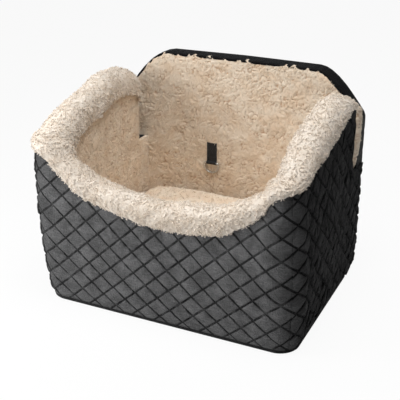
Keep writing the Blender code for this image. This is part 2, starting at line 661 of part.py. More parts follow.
def build_zip(parts, cutters, tape, metal):
    """The zip of the cover: tapes, tooth rows, stops, slider and pull."""
    end = HALF_WIDTH - ZIP_END_INSET
    row_rear = COVER_BACK_FRONT_Y - ZIP_BACK_ROOM + 2 * GAP + SLIDER_BACK_PLATE
    row_front = row_rear + ZIP_TOOTH_DEPTH
    tape_middle = (row_rear + row_front) / 2
    row_end = end - ZIP_STOP_LENGTH - GAP
    tape_start = ZIP_SPLIT_HALF + ZIP_TOOTH_HEIGHT + GAP
    for way, word in ((1, "upper"), (-1, "lower")):
        low, high = sorted((ZIP_HEIGHT + way * tape_start, ZIP_HEIGHT + way * (ZIP_WINDOW_HALF - GAP)))
        name = "zipper_tape_" + word
        mesh = box_mesh(name, (-HALF_WIDTH, tape_middle - ZIP_TAPE_THICKNESS / 2, low),
                        (HALF_WIDTH, tape_middle + ZIP_TAPE_THICKNESS / 2, high))
        add_object(name, mesh, parts, tape)
        low, high = sorted((ZIP_HEIGHT + way * ZIP_SPLIT_HALF,
                            ZIP_HEIGHT + way * (ZIP_SPLIT_HALF + ZIP_TOOTH_HEIGHT)))
        name = "zipper_teeth_" + word
        add_object(name, box_mesh(name, (-row_end, row_rear, low), (row_end, row_front, high)),
                   parts, metal)
    stop_half = ZIP_SPLIT_HALF + ZIP_TOOTH_HEIGHT
    for side, name in ((-1, "zipper_stop_left"), (1, "zipper_stop_right")):
        low, high = sorted((side * (end - ZIP_STOP_LENGTH), side * end))
        mesh = box_mesh(name, (low, row_rear, ZIP_HEIGHT - stop_half), (high, row_front, ZIP_HEIGHT + stop_half))
        add_object(name, mesh, parts, metal)

    rest_x = row_end - GAP - SLIDER_LENGTH / 2
    plate_rear = row_front + GAP
    plate_front = plate_rear + SLIDER_PLATE
    half = SLIDER_LENGTH / 2
    mesh = box_mesh("zipper_slider", (-half, plate_rear, -SLIDER_HALF_HEIGHT),
                    (half, plate_front, SLIDER_HALF_HEIGHT))
    slider = add_object("zipper_slider", mesh, parts, metal)
    slider.location = (rest_x, 0.0, ZIP_HEIGHT)
    back_front = row_rear - GAP
    post = SLIDER_POST_LENGTH / 2
    overlap = SLIDER_BACK_PLATE / 2
    unite(slider, "slider_post", box_mesh("slider_post",
          (half - 2 * post, back_front - overlap, -SLIDER_POST_HALF),
          (half - overlap, plate_rear + overlap, SLIDER_POST_HALF)), cutters)
    unite(slider, "slider_back", box_mesh("slider_back",
          (-half, back_front - SLIDER_BACK_PLATE, -SLIDER_HALF_HEIGHT + overlap),
          (half, back_front, SLIDER_HALF_HEIGHT - overlap)), cutters)
    axis_y = plate_front + PULL_LIFT + PULL_EYE_RADIUS
    ear_in = PULL_WIDTH / 2 + PULL_RUNNING_GAP
    ear_out = ear_in + SLIDER_EAR_THICKNESS
    for way, word in ((-1, "left"), (1, "right")):
        low, high = sorted((way * ear_in, way * ear_out))
        name = "slider_ear_" + word
        unite(slider, name, box_mesh(name, (low, plate_front - overlap, -SLIDER_EAR_HALF_HEIGHT),
              (high, axis_y + SLIDER_EAR_HALF_HEIGHT, SLIDER_EAR_HALF_HEIGHT)), cutters)
    bar = bar_mesh("slider_bar", PULL_BAR_RADIUS, ear_in + SLIDER_EAR_THICKNESS / 2, axis_y)
    unite(slider, "slider_bar", bar, cutters)

    sweep = math.asin(PULL_THICKNESS / 2 / PULL_EYE_RADIUS)
    turns = np.linspace(-math.pi / 2 + sweep, 3 * math.pi / 2 - sweep, PULL_EYE_STEPS)
    outer = [(PULL_EYE_RADIUS * math.cos(a), PULL_EYE_RADIUS * math.sin(a)) for a in turns]
    outer += [(-PULL_THICKNESS / 2, -PULL_LENGTH), (PULL_THICKNESS / 2, -PULL_LENGTH)]
    outlines = [outer, circle(EYE_HOLE_RADIUS, ROUND_SIDES)]
    pull = add_object("zipper_pull", flat_outline("zipper_pull", outlines, PULL_WIDTH), parts, metal)
    stand_facing_side(pull, rest_x, axis_y, ZIP_HEIGHT)


def build_tether_anchor(parts, webbing, metal):
    """The sewn webbing loop on the backrest and the D-ring that swings in it."""
    sole = LOOP_RADIUS - 2 * WEBBING_THICKNESS
    top = WEBBING_LENGTH
    joint = math.acos(max(-1.0, min(1.0, sole / LOOP_RADIUS)))
    turns = np.linspace(joint, 2 * math.pi, LOOP_STEPS + 1)
    outer = [(LOOP_RADIUS * math.cos(a), LOOP_RADIUS * math.sin(a)) for a in turns]
    outer += [(LOOP_RADIUS, top), (sole, top)]
    outlines = [outer, circle(LOOP_HOLE_RADIUS, LOOP_STEPS)]
    item = add_object("tether_webbing", flat_outline("tether_webbing", outlines, WEBBING_WIDTH),
                      parts, webbing)
    stand_facing_side(item, TETHER_X, RING_AXIS_Y, TETHER_HEIGHT)

    curve = bpy.data.curves.new("tether_d_ring", "CURVE")
    curve.dimensions = "3D"
    curve.bevel_depth = RING_WIRE_RADIUS
    curve.bevel_resolution = 2
    half = RING_WIDTH / 2
    path = []
    for side in (1, -1):
        bend = [(half - RING_CORNER + RING_CORNER * math.cos(a), RING_CORNER * (math.sin(a) - 1.0))
                for a in np.linspace(math.pi / 2, 0.0, RING_CORNER_STEPS)]
        bow = [(half * math.cos(a), -RING_CORNER - (RING_DROP - RING_CORNER) * math.sin(a))
               for a in np.linspace(0.0, math.pi / 2, RING_BOW_STEPS)[1:]]
        run = [(side * x, z) for x, z in bend + bow]
        path += run if side == 1 else list(reversed(run))[1:]
    spline = curve.splines.new("POLY")
    spline.points.add(len(path) - 1)
    for point, (x, z) in zip(spline.points, path):
        point.co = (x, 0.0, z, 1.0)
    spline.use_cyclic_u = True
    ring = add_object("tether_d_ring", curve, parts, metal)
    ring.location = (TETHER_X, RING_AXIS_Y, TETHER_HEIGHT)


def build():
    """Clear the scene and make the whole seat."""
    for item in list(bpy.data.objects):
        bpy.data.objects.remove(item, do_unlink=True)
    parts = make_collection("dog_car_seat")
    cutters = make_collection("cutters")
    foam = make_material("seat_foam", (0.80, 0.78, 0.70), 0.95)
    quilted = make_material("quilted_nylon", (0.035, 0.036, 0.038), 0.55)
    piping = make_material("piping", (0.012, 0.012, 0.013), 0.50)
    fleece = make_material("fleece", (0.78, 0.66, 0.50), 0.95)
    webbing = make_material("black_webbing", (0.015, 0.015, 0.016), 0.70)
    metal = make_material("plated_metal", (0.55, 0.55, 0.56), 0.28, 1.0)
    build_foam(parts, foam)
    build_cover(parts, quilted, piping)
    build_lining(parts, fleece, webbing)
    build_cuffs(parts, fleece)
    build_cushion(parts, fleece)
    build_zip(parts, cutters, webbing, metal)
    build_tether_anchor(parts, webbing, metal)


build()
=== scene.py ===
"""Studio scene of a booster car seat for a small dog.

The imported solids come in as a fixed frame. Each soft solid is replaced by a dressed piece of the
same size: a diamond-quilted nylon cover, curly fleece lining and cuffs, a crowned seat cushion, a
zip with real teeth, and a webbing anchor with its D-ring. Metres, +Z up, the front towards -Y.
"""
import logging
import math
from dataclasses import dataclass, field
from enum import Enum
from functools import cached_property
from typing import Any, Callable, Sequence

import bmesh
import bpy
import numpy as np
from bpy.types import ID, Curve, Material, Mesh, Node, NodeSocket, Object
from mathutils import Matrix, Vector


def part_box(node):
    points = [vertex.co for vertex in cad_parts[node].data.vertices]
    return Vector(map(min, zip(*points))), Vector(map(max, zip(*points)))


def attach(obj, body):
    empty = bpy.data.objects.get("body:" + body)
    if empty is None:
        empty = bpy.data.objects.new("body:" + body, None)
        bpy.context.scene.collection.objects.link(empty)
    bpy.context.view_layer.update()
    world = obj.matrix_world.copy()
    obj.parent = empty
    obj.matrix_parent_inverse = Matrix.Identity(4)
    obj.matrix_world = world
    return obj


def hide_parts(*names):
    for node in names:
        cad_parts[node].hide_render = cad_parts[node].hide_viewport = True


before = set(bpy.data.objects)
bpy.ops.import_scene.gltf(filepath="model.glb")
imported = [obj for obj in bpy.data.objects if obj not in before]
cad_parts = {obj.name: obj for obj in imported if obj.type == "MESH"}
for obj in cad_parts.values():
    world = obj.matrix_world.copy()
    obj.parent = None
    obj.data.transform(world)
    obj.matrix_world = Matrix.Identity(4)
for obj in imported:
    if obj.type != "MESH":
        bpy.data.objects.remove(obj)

LOG = logging.getLogger("dog_car_seat")
SEAT, CUSHION, SLIDER, PULL, RING = "seat", "cushion", "slider", "pull", "ring"

Array = np.ndarray
Surface = Callable[[Array, Array], Array]
Relief = Callable[[Array, Array], Array]
Path = Sequence[Sequence[float]]
Triple = tuple[float, float, float]
Colour = Triple
Faces = list[tuple[int, ...]]

# Rim of the front: share of the half width, share of the way from the low middle up to the corner,
# share of the cuff's full rise
FRONT_RIM_SHARES = (
    (0.00, 0.000, 1.00), (0.11, 0.012, 1.00), (0.22, 0.050, 1.00), (0.38, 0.125, 1.00),
    (0.507, 0.190, 1.00), (0.564, 0.250, 0.99), (0.625, 0.350, 0.96), (0.70, 0.483, 0.88),
    (0.771, 0.625, 0.74), (0.807, 0.767, 0.64), (0.854, 0.917, 0.50), (0.90, 1.000, 0.38),
    (1.00, 1.000, 0.36),
)
# Rim of a side: share of the run from the front corner, share of the way up to the side's height,
# share of the cuff's full rise
SIDE_RIM_SHARES = (
    (0.000, 0.000, 0.36), (0.035, 0.000, 0.36), (0.119, 0.150, 0.52), (0.309, 0.400, 0.78),
    (0.496, 0.586, 0.90), (0.650, 0.757, 0.94), (0.766, 0.900, 0.82), (0.893, 0.993, 0.60),
    (0.956, 1.000, 0.46), (1.000, 0.957, 0.34),
)
# How much higher the cloth's edge stands than the solid's: run in metres, lift in metres
RIM_LIFT = (
    (-0.45, 0.000), (-0.33, 0.004), (-0.27, 0.008), (-0.20, 0.013), (-0.10, 0.012), (0.00, 0.009),
    (0.08, 0.004), (0.16, 0.001), (0.25, 0.000),
)
# Corner of the backrest, from the side up to the top: share of its width, share of its drop
BACK_CORNER_SHARES = (
    (0.00, 0.00), (0.03, 0.09), (0.11, 0.20), (0.26, 0.40), (0.43, 0.615), (0.60, 0.79),
    (0.76, 0.915), (0.88, 0.975), (1.00, 1.00),
)
# Padding of a cuff: depth, size along the run, size round the cuff, seed of the noise
CUFF_PUFFS = ((0.0030, 0.040, 0.050, 91), (0.0026, 0.015, 0.015, 92), (0.0016, 0.008, 0.008, 93))
# Random values along each side of a noise's table, after which the noise repeats
NOISE_TABLE = 128
WHITE = (1.0, 1.0, 1.0, 1.0)


class Side(Enum):
    """The two sides of the seat, as seen by someone who looks at its front."""

    LEFT = -1
    RIGHT = 1

    @property
    def word(self) -> str:
        """The side's name in lower case."""
        return self.name.lower()


def table_column(table: Sequence[Sequence[float]], share: Array, column: int) -> Array:
    """Read one column of a table at places along its first column, between its rows too."""
    return np.interp(share, [row[0] for row in table], [row[column] for row in table])


def unit(value: Array) -> Array:
    """Clip to the range from 0 to 1."""
    return np.clip(value, 0.0, 1.0)


def eased(share: Array) -> Array:
    """Ease a share from 0 to 1 in and out."""
    return share * share * (3 - 2 * share)


def ridged(noise: Array) -> Array:
    """Turn noise from 0 to 1 into ridges, which are 1 where it passes its middle."""
    return 1 - np.abs(2 * noise - 1)


def normalised(vectors: Array) -> Array:
    """Scale each vector to a length of 1."""
    return vectors / np.maximum(np.linalg.norm(vectors, axis=-1, keepdims=True), 1e-12)


def path_lengths(points: Array) -> Array:
    """Length of a path from its start to each of its points."""
    return np.concatenate([[0.0], np.cumsum(np.linalg.norm(np.diff(points, axis=0), axis=1))])


def value_noise(x: Array, y: Array, seed: int) -> Array:
    """Smooth noise on a plane, with one random value for each unit square.

    Args:
        x: Places along the first direction.
        y: Places along the second direction.
        seed: Seed of the table of random values.

    Returns:
        Values from 0 to 1.
    """
    table = np.random.RandomState(seed).rand(NOISE_TABLE, NOISE_TABLE)
    column, row = np.floor(x).astype(int), np.floor(y).astype(int)
    along, up = eased(x - column), eased(y - row)
    after, above = (column + 1) % NOISE_TABLE, (row + 1) % NOISE_TABLE
    column, row = column % NOISE_TABLE, row % NOISE_TABLE
    low = table[column, row] * (1 - along) + table[after, row] * along
    high = table[column, above] * (1 - along) + table[after, above] * along
    return low * (1 - up) + high * up


def cell_noise(x: Array, y: Array, seed: int) -> tuple[Array, Array]:
    """Distances to scattered points on a plane, one point for each unit square.

    Args:
        x: Places along the first direction.
        y: Places along the second direction.
        seed: Seed of the scattered points.

    Returns:
        The distance to the nearest point and to the second nearest one.
    """
    scatter = np.random.RandomState(seed).rand(NOISE_TABLE, NOISE_TABLE, 2)
    column, row = np.floor(x).astype(int), np.floor(y).astype(int)
    nearest = np.full(np.shape(x), 9.0)
    second = np.full(np.shape(x), 9.0)
    for i in (-1, 0, 1):
        for j in (-1, 0, 1):
            point = scatter[(column + i) % NOISE_TABLE, (row + j) % NOISE_TABLE]
            away = np.hypot(column + i + point[..., 0] - x, row + j + point[..., 1] - y)
            second = np.where(away < nearest, nearest, np.minimum(second, away))
            nearest = np.minimum(nearest, away)
    return nearest, second


@dataclass(frozen=True)
class SeatShape:
    """Sizes of the seat's solids in metres, and the surfaces that they give."""

    width: float = 0.560
    base_depth: float = 0.422
    back_height: float = 0.465
    low_height: float = 0.218
    corner_height: float = 0.338
    side_height: float = 0.408
    lean_reach: float = 0.023
    corner_radius: float = 0.042
    inner_corner_radius: float = 0.016
    rear_radius: float = 0.060
    platform: float = 0.100
    gap: float = 0.0003
    cover: float = 0.004
    wall_foam: float = 0.038
    back_foam: float = 0.034
    lining: float = 0.009
    floor_lining: float = 0.003
    welt_radius: float = 0.003
    welt_rear_radius: float = 0.015
    cuff_rise: float = 0.050
    cuff_top: float = 0.012
    cuff_overhang: float = 0.006
    cuff_inner_drop: float = 0.055
    cuff_round: float = 0.038
    cuff_seat_gap: float = 0.0008
    slot_width: float = 0.044
    slot_floor: float = 0.257
    zip_height: float = 0.097
    zip_window_half: float = 0.013
    zip_back_room: float = 0.0011
    back_corner_width: float = 0.105
    back_corner_drop: float = 0.100
    back_crown: float = 0.002
    run_blend: float = 0.055
    drop_room: float = 0.001
    drop_width: float = 0.00005

    @property
    def half(self) -> float:
        """Half of the seat's width."""
        return self.width / 2

    @property
    def front_y(self) -> float:
        """Y of the cover's front at the floor."""
        return -self.base_depth / 2

    @property
    def rear_y(self) -> float:
        """Y of the cover's rear face."""
        return self.base_depth / 2

    @property
    def lining_out(self) -> float:
        """Inset of the lining's hidden face."""
        return self.cover + self.wall_foam + 2 * self.gap

    @property
    def lining_in(self) -> float:
        """Inset of the lining's pile face."""
        return self.lining_out + self.lining

    @property
    def cuff_in(self) -> float:
        """Inset of the cuff's inner face."""
        return self.lining_in + self.cuff_overhang

    @property
    def back_lining_rear_y(self) -> float:
        """Y of the hidden face of the backrest's lining."""
        return self.rear_y - self.cover - self.zip_back_room - self.back_foam - self.gap

    @property
    def back_lining_front_y(self) -> float:
        """Y of the pile face of the backrest's lining."""
        return self.back_lining_rear_y - self.lining

    @property
    def wall_end_y(self) -> float:
        """Y where the side walls end at the belt slots."""
        return self.back_lining_front_y - self.slot_width

    @property
    def arc_y(self) -> float:
        """Y of the centre of the rounded lower rear edge."""
        return self.rear_y - self.rear_radius

    @property
    def above_welt(self) -> float:
        """Height where the wall panels of the cover begin."""
        return 2 * self.welt_radius + 2 * self.gap

    @property
    def run_flat(self) -> float:
        """Run of the flat middle part of the front, on every layer."""
        return self.half - self.cuff_in - self.inner_corner_radius - self.gap

    @property
    def run_corner(self) -> float:
        """Run where the cover's corner begins."""
        return self.half - self.corner_radius

    @property
    def run_mitre(self) -> float:
        """Run of the mitre line in the middle of a front corner."""
        return self.run_corner + self.corner_radius * math.pi / 4

    @property
    def run_turned(self) -> float:
        """Run where the cover's corner ends."""
        return self.run_corner + self.corner_radius * math.pi / 2

    @property
    def run_side(self) -> float:
        """Run where the straight part of a side begins, on every layer."""
        return self.run_turned + self.run_blend

    @property
    def side_start_y(self) -> float:
        """Y where the straight part of a side begins, on every layer."""
        return self.front_y + self.cuff_in + self.inner_corner_radius + self.gap

    def run_of(self, y: float) -> float:
        """Run of a place on a side, counted from the middle of the front."""
        return self.run_side + y - self.side_start_y

    def front_face(self, height: Array) -> Array:
        """Y of the cover's front face, which leans forward as it rises."""
        return self.front_y - self.lean_reach * height / self.corner_height

    def place(self, run: Array, inset: float, height: Array) -> Array:
        """Point on a layer of the wall.

        Args:
            run: Way round the cover from the middle of the front, negative on the left.
            inset: Depth of the layer under the cover's outer face.
            height: Height above the floor.

        Returns:
            The points, with x, y and z last.
        """
        run, inset, height = np.broadcast_arrays(run, inset, height)
        reach, way = np.abs(run), np.where(run < 0, -1.0, 1.0)
        radius = np.maximum(self.corner_radius - inset, self.inner_corner_radius)
        half = self.half - inset
        face = self.front_face(height) + inset
        turn = np.clip((reach - self.run_corner) / self.corner_radius, 0.0, math.pi / 2)
        near = unit((reach - self.run_flat) / (self.run_corner - self.run_flat))
        across = self.run_flat + (half - radius - self.run_flat) * near
        x = np.where(reach <= self.run_flat, reach, across + radius * np.sin(turn))
        far = unit((reach - self.run_turned) / self.run_blend)
        corner_y = face + radius - radius * np.cos(turn)
        y = corner_y + (self.side_start_y - corner_y) * far + np.maximum(reach - self.run_side, 0.0)
        return np.stack([way * x, y, height], axis=-1)

    @cached_property
    def rim_table(self) -> tuple[Array, Array, Array]:
        """Runs with the heights of the black edge and the cuff's crest, without corners."""
        step, reach, spread = 0.001, 27, 9.0
        runs = np.arange(0.0, self.run_of(self.wall_end_y) + 60 * step, step)
        x, y, _ = self.place(runs, 0.0, self.corner_height).T
        rims = []
        for table, share, low, high in (
                (FRONT_RIM_SHARES, x / self.half, self.low_height, self.corner_height),
                (SIDE_RIM_SHARES, unit((y - y[0]) / (self.wall_end_y - y[0])), self.corner_height,
                 self.side_height)):
            edge = low + (high - low) * table_column(table, share, 1)
            rims.append((edge, edge + self.cuff_rise * table_column(table, share, 2)))
        kernel = np.exp(-0.5 * (np.arange(-reach, reach + 1) / spread) ** 2)
        kernel /= kernel.sum()
        soft = []
        for front, side in zip(*rims):
            line = np.where(runs < self.run_mitre, front, side)
            padded = np.concatenate([line[reach:0:-1], line, np.full(reach, line[-1])])
            soft.append(np.convolve(padded, kernel, "valid"))
        return runs, soft[0], soft[1]

    def edge(self, run: Array) -> Array:
        """Height of the cover's upper edge along the run."""
        runs, edge, _ = self.rim_table
        return np.interp(np.abs(run), runs, edge) + table_column(RIM_LIFT, run, 1)

    def crest(self, run: Array) -> Array:
        """Height of the cuff's crest along the run."""
        runs, _, crest = self.rim_table
        return np.interp(np.abs(run), runs, crest)

    def arc_floor(self, y: Array) -> Array:
        """Lowest height inside the rounded lower rear edge.

        Args:
            y: Places along Y.

        Returns:
            The heights.
        """
        radius = self.rear_radius - self.cover - self.gap
        reach = np.clip(np.asarray(y) - self.arc_y, 0.0, radius)
        return self.rear_radius - np.sqrt(radius * radius - reach * reach)

    def back_outline(self, inset: float, foot: float) -> Array:
        """Outline of the backrest at an inset, from its left foot over the top to its right.

        Args:
            inset: Distance inside the cover's outer edge.
            foot: Height of the two ends.

        Returns:
            Points (x, z).
        """
        top = self.back_height - self.back_crown
        right = [(self.half, foot)]
        for across, up in BACK_CORNER_SHARES:
            right.append((self.half - self.back_corner_width * across,
                          top - self.back_corner_drop * (1.0 - up)))
        outer = np.array([(-x, z) for x, z in right] + [(0.0, self.back_height)] + right[::-1])
        runs = normalised(np.diff(outer, axis=0))
        normal = np.stack([runs[:, 1], -runs[:, 0]], axis=1)
        before, after = np.vstack([normal[:1], normal]), np.vstack([normal, normal[-1:]])
        total = normalised(before + after)
        return outer + total * (inset / np.sum(total * before, axis=1))[:, None]

    def back_top(self, inset: float, x: Array) -> Array:
        """Height of the backrest's top.

        Args:
            inset: Distance inside the cover's outer edge.
            x: Places across the backrest.

        Returns:
            The heights.
        """
        outline = self.back_outline(inset, 0.0)
        right = outline[len(outline) // 2:-1]
        return np.interp(np.abs(x), right[:, 0], right[:, 1])

    def layer(self, inset: float) -> Surface:
        """Surface of a layer of the wall, by run and height."""
        return lambda run, height: self.place(run, inset, height)

    def spans(self, end: float) -> tuple[tuple[str, float, float], ...]:
        """Name, first and last run of a layer's three parts, whose sides reach to a given run."""
        near, far = self.run_mitre - self.gap / 2, self.run_mitre + self.gap / 2
        return ("front", -near, near), ("left", -end, -far), ("right", far, end)

    def columns(self, start: float, end: float, origin: float, step: float) -> Array:
        """Runs of a wall panel's columns, with a close pair where it drops beside a belt slot.

        Args:
            start: Run of its first edge.
            end: Run of its last edge.
            origin: Run that the steps are counted from.
            step: Distance between columns.

        Returns:
            The runs in rising order.
        """
        drop = self.run_of(self.wall_end_y)
        _, inner = levels_between(start, end, origin, step)
        places = [run for run in inner if abs(abs(run) - drop) > self.drop_room]
        if max(abs(start), abs(end)) > drop:
            places += [math.copysign(drop + extra, start + end) for extra in (0.0, self.drop_width)]
        return np.array(sorted(places))

    def past_wall(self, run: float) -> bool:
        """Whether a place lies beyond the side wall, beside a belt slot."""
        return abs(run) > self.run_of(self.wall_end_y) + self.drop_width / 5


@dataclass(frozen=True)
class Quilt:
    """The diamond quilting of the nylon cover: its stitch lines and its padded cells."""

    half_cell: float = 0.02562
    squeeze: float = 0.9204
    start_run: float = -0.15505
    start_height: float = 0.16473
    depth: float = 0.0021
    groove: float = 0.0021
    dome: float = 0.0007
    tilt: float = 0.0052
    steps: int = 12

    @property
    def run_step(self) -> float:
        """Mesh step along the run, which puts the stitch lines on mesh points."""
        return self.half_cell / self.steps

    @property
    def height_step(self) -> float:
        """Mesh step along the height, which puts the stitch lines on mesh points."""
        return self.half_cell * self.squeeze / self.steps

    def lattice(self, run: Array, height: Array) -> tuple[Array, Array]:
        """Count cells along the two stitch directions.

        Args:
            run: Places along the cloth's width.
            height: Places along the cloth's height.

        Returns:
            The two counts, which are whole numbers on the stitch lines.
        """
        across = (run - self.start_run) / self.half_cell
        up = (height - self.start_height) / (self.half_cell * self.squeeze)
        return (across + up) / 2, (across - up) / 2

    def chart(self, run: Array, height: Array) -> Array:
        """Give the two counts as a vector for each point, which the material's seams follow."""
        a, b = self.lattice(run, height)
        return np.stack([a, b, np.zeros_like(a)], axis=-1)

    def relief(self, run: Array, height: Array, seed: int) -> Array:
        """Height of the padding over the stitch lines.

        Args:
            run: Places along the cloth's width.
            height: Places along the cloth's height.
            seed: Seed of the wrinkles and of the cells' tilt.

        Returns:
            Heights in metres, 0 on the stitch lines.
        """
        a, b = self.lattice(run, height)
        side = self.half_cell * math.sqrt(2)
        near = np.minimum(np.abs(a - np.round(a)), np.abs(b - np.round(b))) * side
        pad = 1 - np.exp(-(near / self.groove) ** 1.5)
        cell_a, cell_b = np.floor(a).astype(int), np.floor(b).astype(int)
        swell = np.sin(np.pi * (a - cell_a)) * np.sin(np.pi * (b - cell_b))
        lean = np.random.RandomState(seed).rand(64, 64, 2) - 0.5
        lean = lean[cell_a % 64, cell_b % 64]
        tip = lean[..., 0] * (a - cell_a - 0.5) + lean[..., 1] * (b - cell_b - 0.5)
        creases = value_noise(run / 0.012, height / 0.0045, seed + 1) - 0.5
        creases = creases * value_noise(run / 0.05, height / 0.05, seed + 2)
        dents = value_noise(run / 0.016, height / 0.016, seed + 5) - 0.5
        height = self.depth + self.tilt * tip + 0.0022 * creases + 0.0015 * dents
        return pad * height + self.dome * swell


@dataclass(frozen=True)
class Pile:
    """Curly fleece pile: soft clumps of wool with meandering cracks between some of them."""

    clump: float = 0.0092
    curl: float = 0.0048
    height: float = 0.0030
    cracks: float = 1.0
    swell: float = 0.0024
    swell_length: float = 0.045

    def shape(self, u: Array, v: Array, seed: int) -> Array:
        """Height of the pile from 0 in a crack to 1 on a clump.

        Args:
            u: Places along the cloth's width.
            v: Places along the cloth's height.
            seed: Seed of the clumps.

        Returns:
            The heights.
        """
        warp_u = u + 0.010 * (value_noise(u / 0.012, v / 0.012, seed + 1) - 0.5)
        warp_v = v + 0.010 * (value_noise(u / 0.012, v / 0.012, seed + 2) - 0.5)
        near, after = cell_noise(warp_u / self.clump, warp_v / self.clump, seed + 3)
        crack = np.exp(-((after - near) / 0.15) ** 2)
        open_here = 0.40 + 0.60 * unit((value_noise(u / 0.017, v / 0.013, seed + 5) - 0.25) * 2.2)
        near, after = cell_noise(warp_u / self.curl, warp_v / self.curl, seed + 4)
        curl = unit((after - near) * 1.6) ** 0.7
        return 1.0 - 0.72 * self.cracks * crack * open_here - 0.28 * (1.0 - curl)

    def relief(self, u: Array, v: Array, seed: int) -> Array:
        """Height of the pile in metres, with the slow swell of the padding under it.

        Args:
            u: Places along the cloth's width.
            v: Places along the cloth's height.
            seed: Seed of the clumps.

        Returns:
            The heights.
        """
        slow = value_noise(u / self.swell_length, v / self.swell_length, seed + 7) - 0.5
        lump = value_noise(u / 0.014, v / 0.014, seed + 8) - 0.5
        return self.height * (self.shape(u, v, seed) - 0.7) + self.swell * slow + 0.0016 * lump


def normals_of(surface: Surface, u: Array, v: Array) -> Array:
    """Unit normals of a surface, found from small steps along it.

    Args:
        surface: Gives the points of the surface.
        u: Places along its first direction.
        v: Places along its second direction.

    Returns:
        The normals, on the side of the cross product of the two directions.
    """
    step = 2e-4
    along = surface(u + step, v) - surface(u - step, v)
    up = surface(u, v + step) - surface(u, v - step)
    return normalised(np.cross(along, up))


def flat_at(value: float, axis: int) -> Surface:
    """Flat surface whose points share one value of Y (axis 1) or of Z (axis 2)."""
    return lambda a, b: np.insert(np.stack([a, b], axis=-1), axis, value, axis=-1)


def store(mesh: Mesh, name: str, values: Array) -> None:
    """Keep a number or a vector for each point of a mesh.

    Args:
        mesh: The mesh to add to.
        name: Name of the attribute that a material reads.
        values: One row for each point.
    """
    kind, key = ("FLOAT_VECTOR", "vector") if values.ndim == 2 else ("FLOAT", "value")
    attribute = mesh.attributes.new(name, kind, "POINT")
    attribute.data.foreach_set(key, values.astype(np.float32).ravel())


def face_out(mesh: Mesh) -> None:
    """Turn every face of a closed mesh outwards.

    Args:
        mesh: The mesh, which is changed.
    """
    bm = bmesh.new()
    bm.from_mesh(mesh)
    bmesh.ops.recalc_face_normals(bm, faces=bm.faces)
    bm.to_mesh(mesh)
    bm.free()


def smooth(mesh: Mesh, degrees: float = 50.0) -> None:
    """Shade a mesh smooth, with its sharp edges kept."""
    mesh.shade_smooth()
    mesh.set_sharp_from_angle(angle=math.radians(degrees))


def closed_mesh(name: str, points: Array, faces: Faces, charts: dict[str, Array],
                degrees: float = 50.0) -> Mesh:
    """Build a closed mesh that faces outwards, shaded smooth, with its charts as attributes.

    Args:
        name: Name of the mesh.
        points: Its points.
        faces: The points of each face, by their number.
        charts: One number or vector for each point, by the attribute's name.
        degrees: Angle from which an edge stays sharp.

    Returns:
        The mesh.
    """
    mesh = bpy.data.meshes.new(name)
    mesh.from_pydata(points.tolist(), [], faces)
    face_out(mesh)
    for chart, values in charts.items():
        store(mesh, chart, values)
    smooth(mesh, degrees)
    return mesh


def points_of(mesh: Mesh) -> Array:
    """Give the points of a mesh."""
    return np.array([vert.co for vert in mesh.vertices])


def move_points(mesh: Mesh, points: Array) -> None:
    """Put the points of a mesh in new places."""
    mesh.vertices.foreach_set("co", points.astype(np.float32).ravel())
    mesh.update()


def add_object(name: str, data: ID) -> Object:
    """Put a mesh, a curve, a lamp or a camera in the scene.

    Args:
        name: Name of the object.
        data: What it shows.

    Returns:
        The new object.
    """
    item = bpy.data.objects.new(name, data)
    bpy.context.scene.collection.objects.link(item)
    return item


def applied(carrier: Object) -> Mesh:
    """Give a plain mesh of an object as its modifiers leave it."""
    bpy.context.view_layer.update()
    return bpy.data.meshes.new_from_object(carrier.evaluated_get(bpy.context.evaluated_depsgraph_get()))


def baked(carrier: Object, name: str) -> Mesh:
    """Turn an object into a plain mesh and remove the object.

    Args:
        carrier: The object, with its modifiers.
        name: Name of the mesh.

    Returns:
        The mesh.
    """
    mesh = applied(carrier)
    mesh.name = name
    bpy.data.objects.remove(carrier, do_unlink=True)
    return mesh


def poly_curve(name: str, lines: Sequence[Path], closed: bool = False) -> Curve:
    """Make a curve of straight runs.

    Args:
        name: Name of the curve.
        lines: Points of each line.
        closed: Whether each line returns to its start.

    Returns:
        The curve.
    """
    curve = bpy.data.curves.new(name, "CURVE")
    curve.dimensions = "3D"
    for line in lines:
        spline = curve.splines.new("POLY")
        spline.points.add(len(line) - 1)
        for point, spot in zip(spline.points, line):
            point.co = (*spot, 1.0)
        spline.use_cyclic_u = closed
    return curve


def bent_wire(name: str, path: Path, radius: float, resolution: int) -> Mesh:
    """Bend a round wire along a closed path.

    Args:
        name: Name of the mesh.
        path: Points of the wire's middle.
        radius: Half of its thickness.
        resolution: Blender's count of faces round it.

    Returns:
        The mesh.
    """
    curve = poly_curve(name, [path], closed=True)
    curve.bevel_depth, curve.bevel_resolution = radius, resolution
    mesh = baked(add_object(name + "_carrier", curve), name)
    mesh.shade_smooth()
    return mesh


def set_finish(mesh: Mesh, material: Material) -> None:
    """Give a mesh its one finish."""
    mesh.materials.clear()
    mesh.materials.append(material)


def seat_piece(name: str, mesh: Mesh, material: Material, body: str, slot: str,
               *nodes: str) -> Object:
    """Add a finished piece that rides on its body and stands for its solids.

    Args:
        name: Name of the piece.
        mesh: Its mesh, with its place in its points.
        material: Its finish.
        body: The body that it moves with.
        slot: Not used.
        nodes: The solids that it stands for, if any.

    Returns:
        The new object.
    """
    set_finish(mesh, material)
    piece = add_object(name, mesh)
    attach(piece, body)
    if nodes:
        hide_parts(*nodes)
    LOG.info("%s: %d faces on %s", name, len(mesh.polygons), body)
    return piece


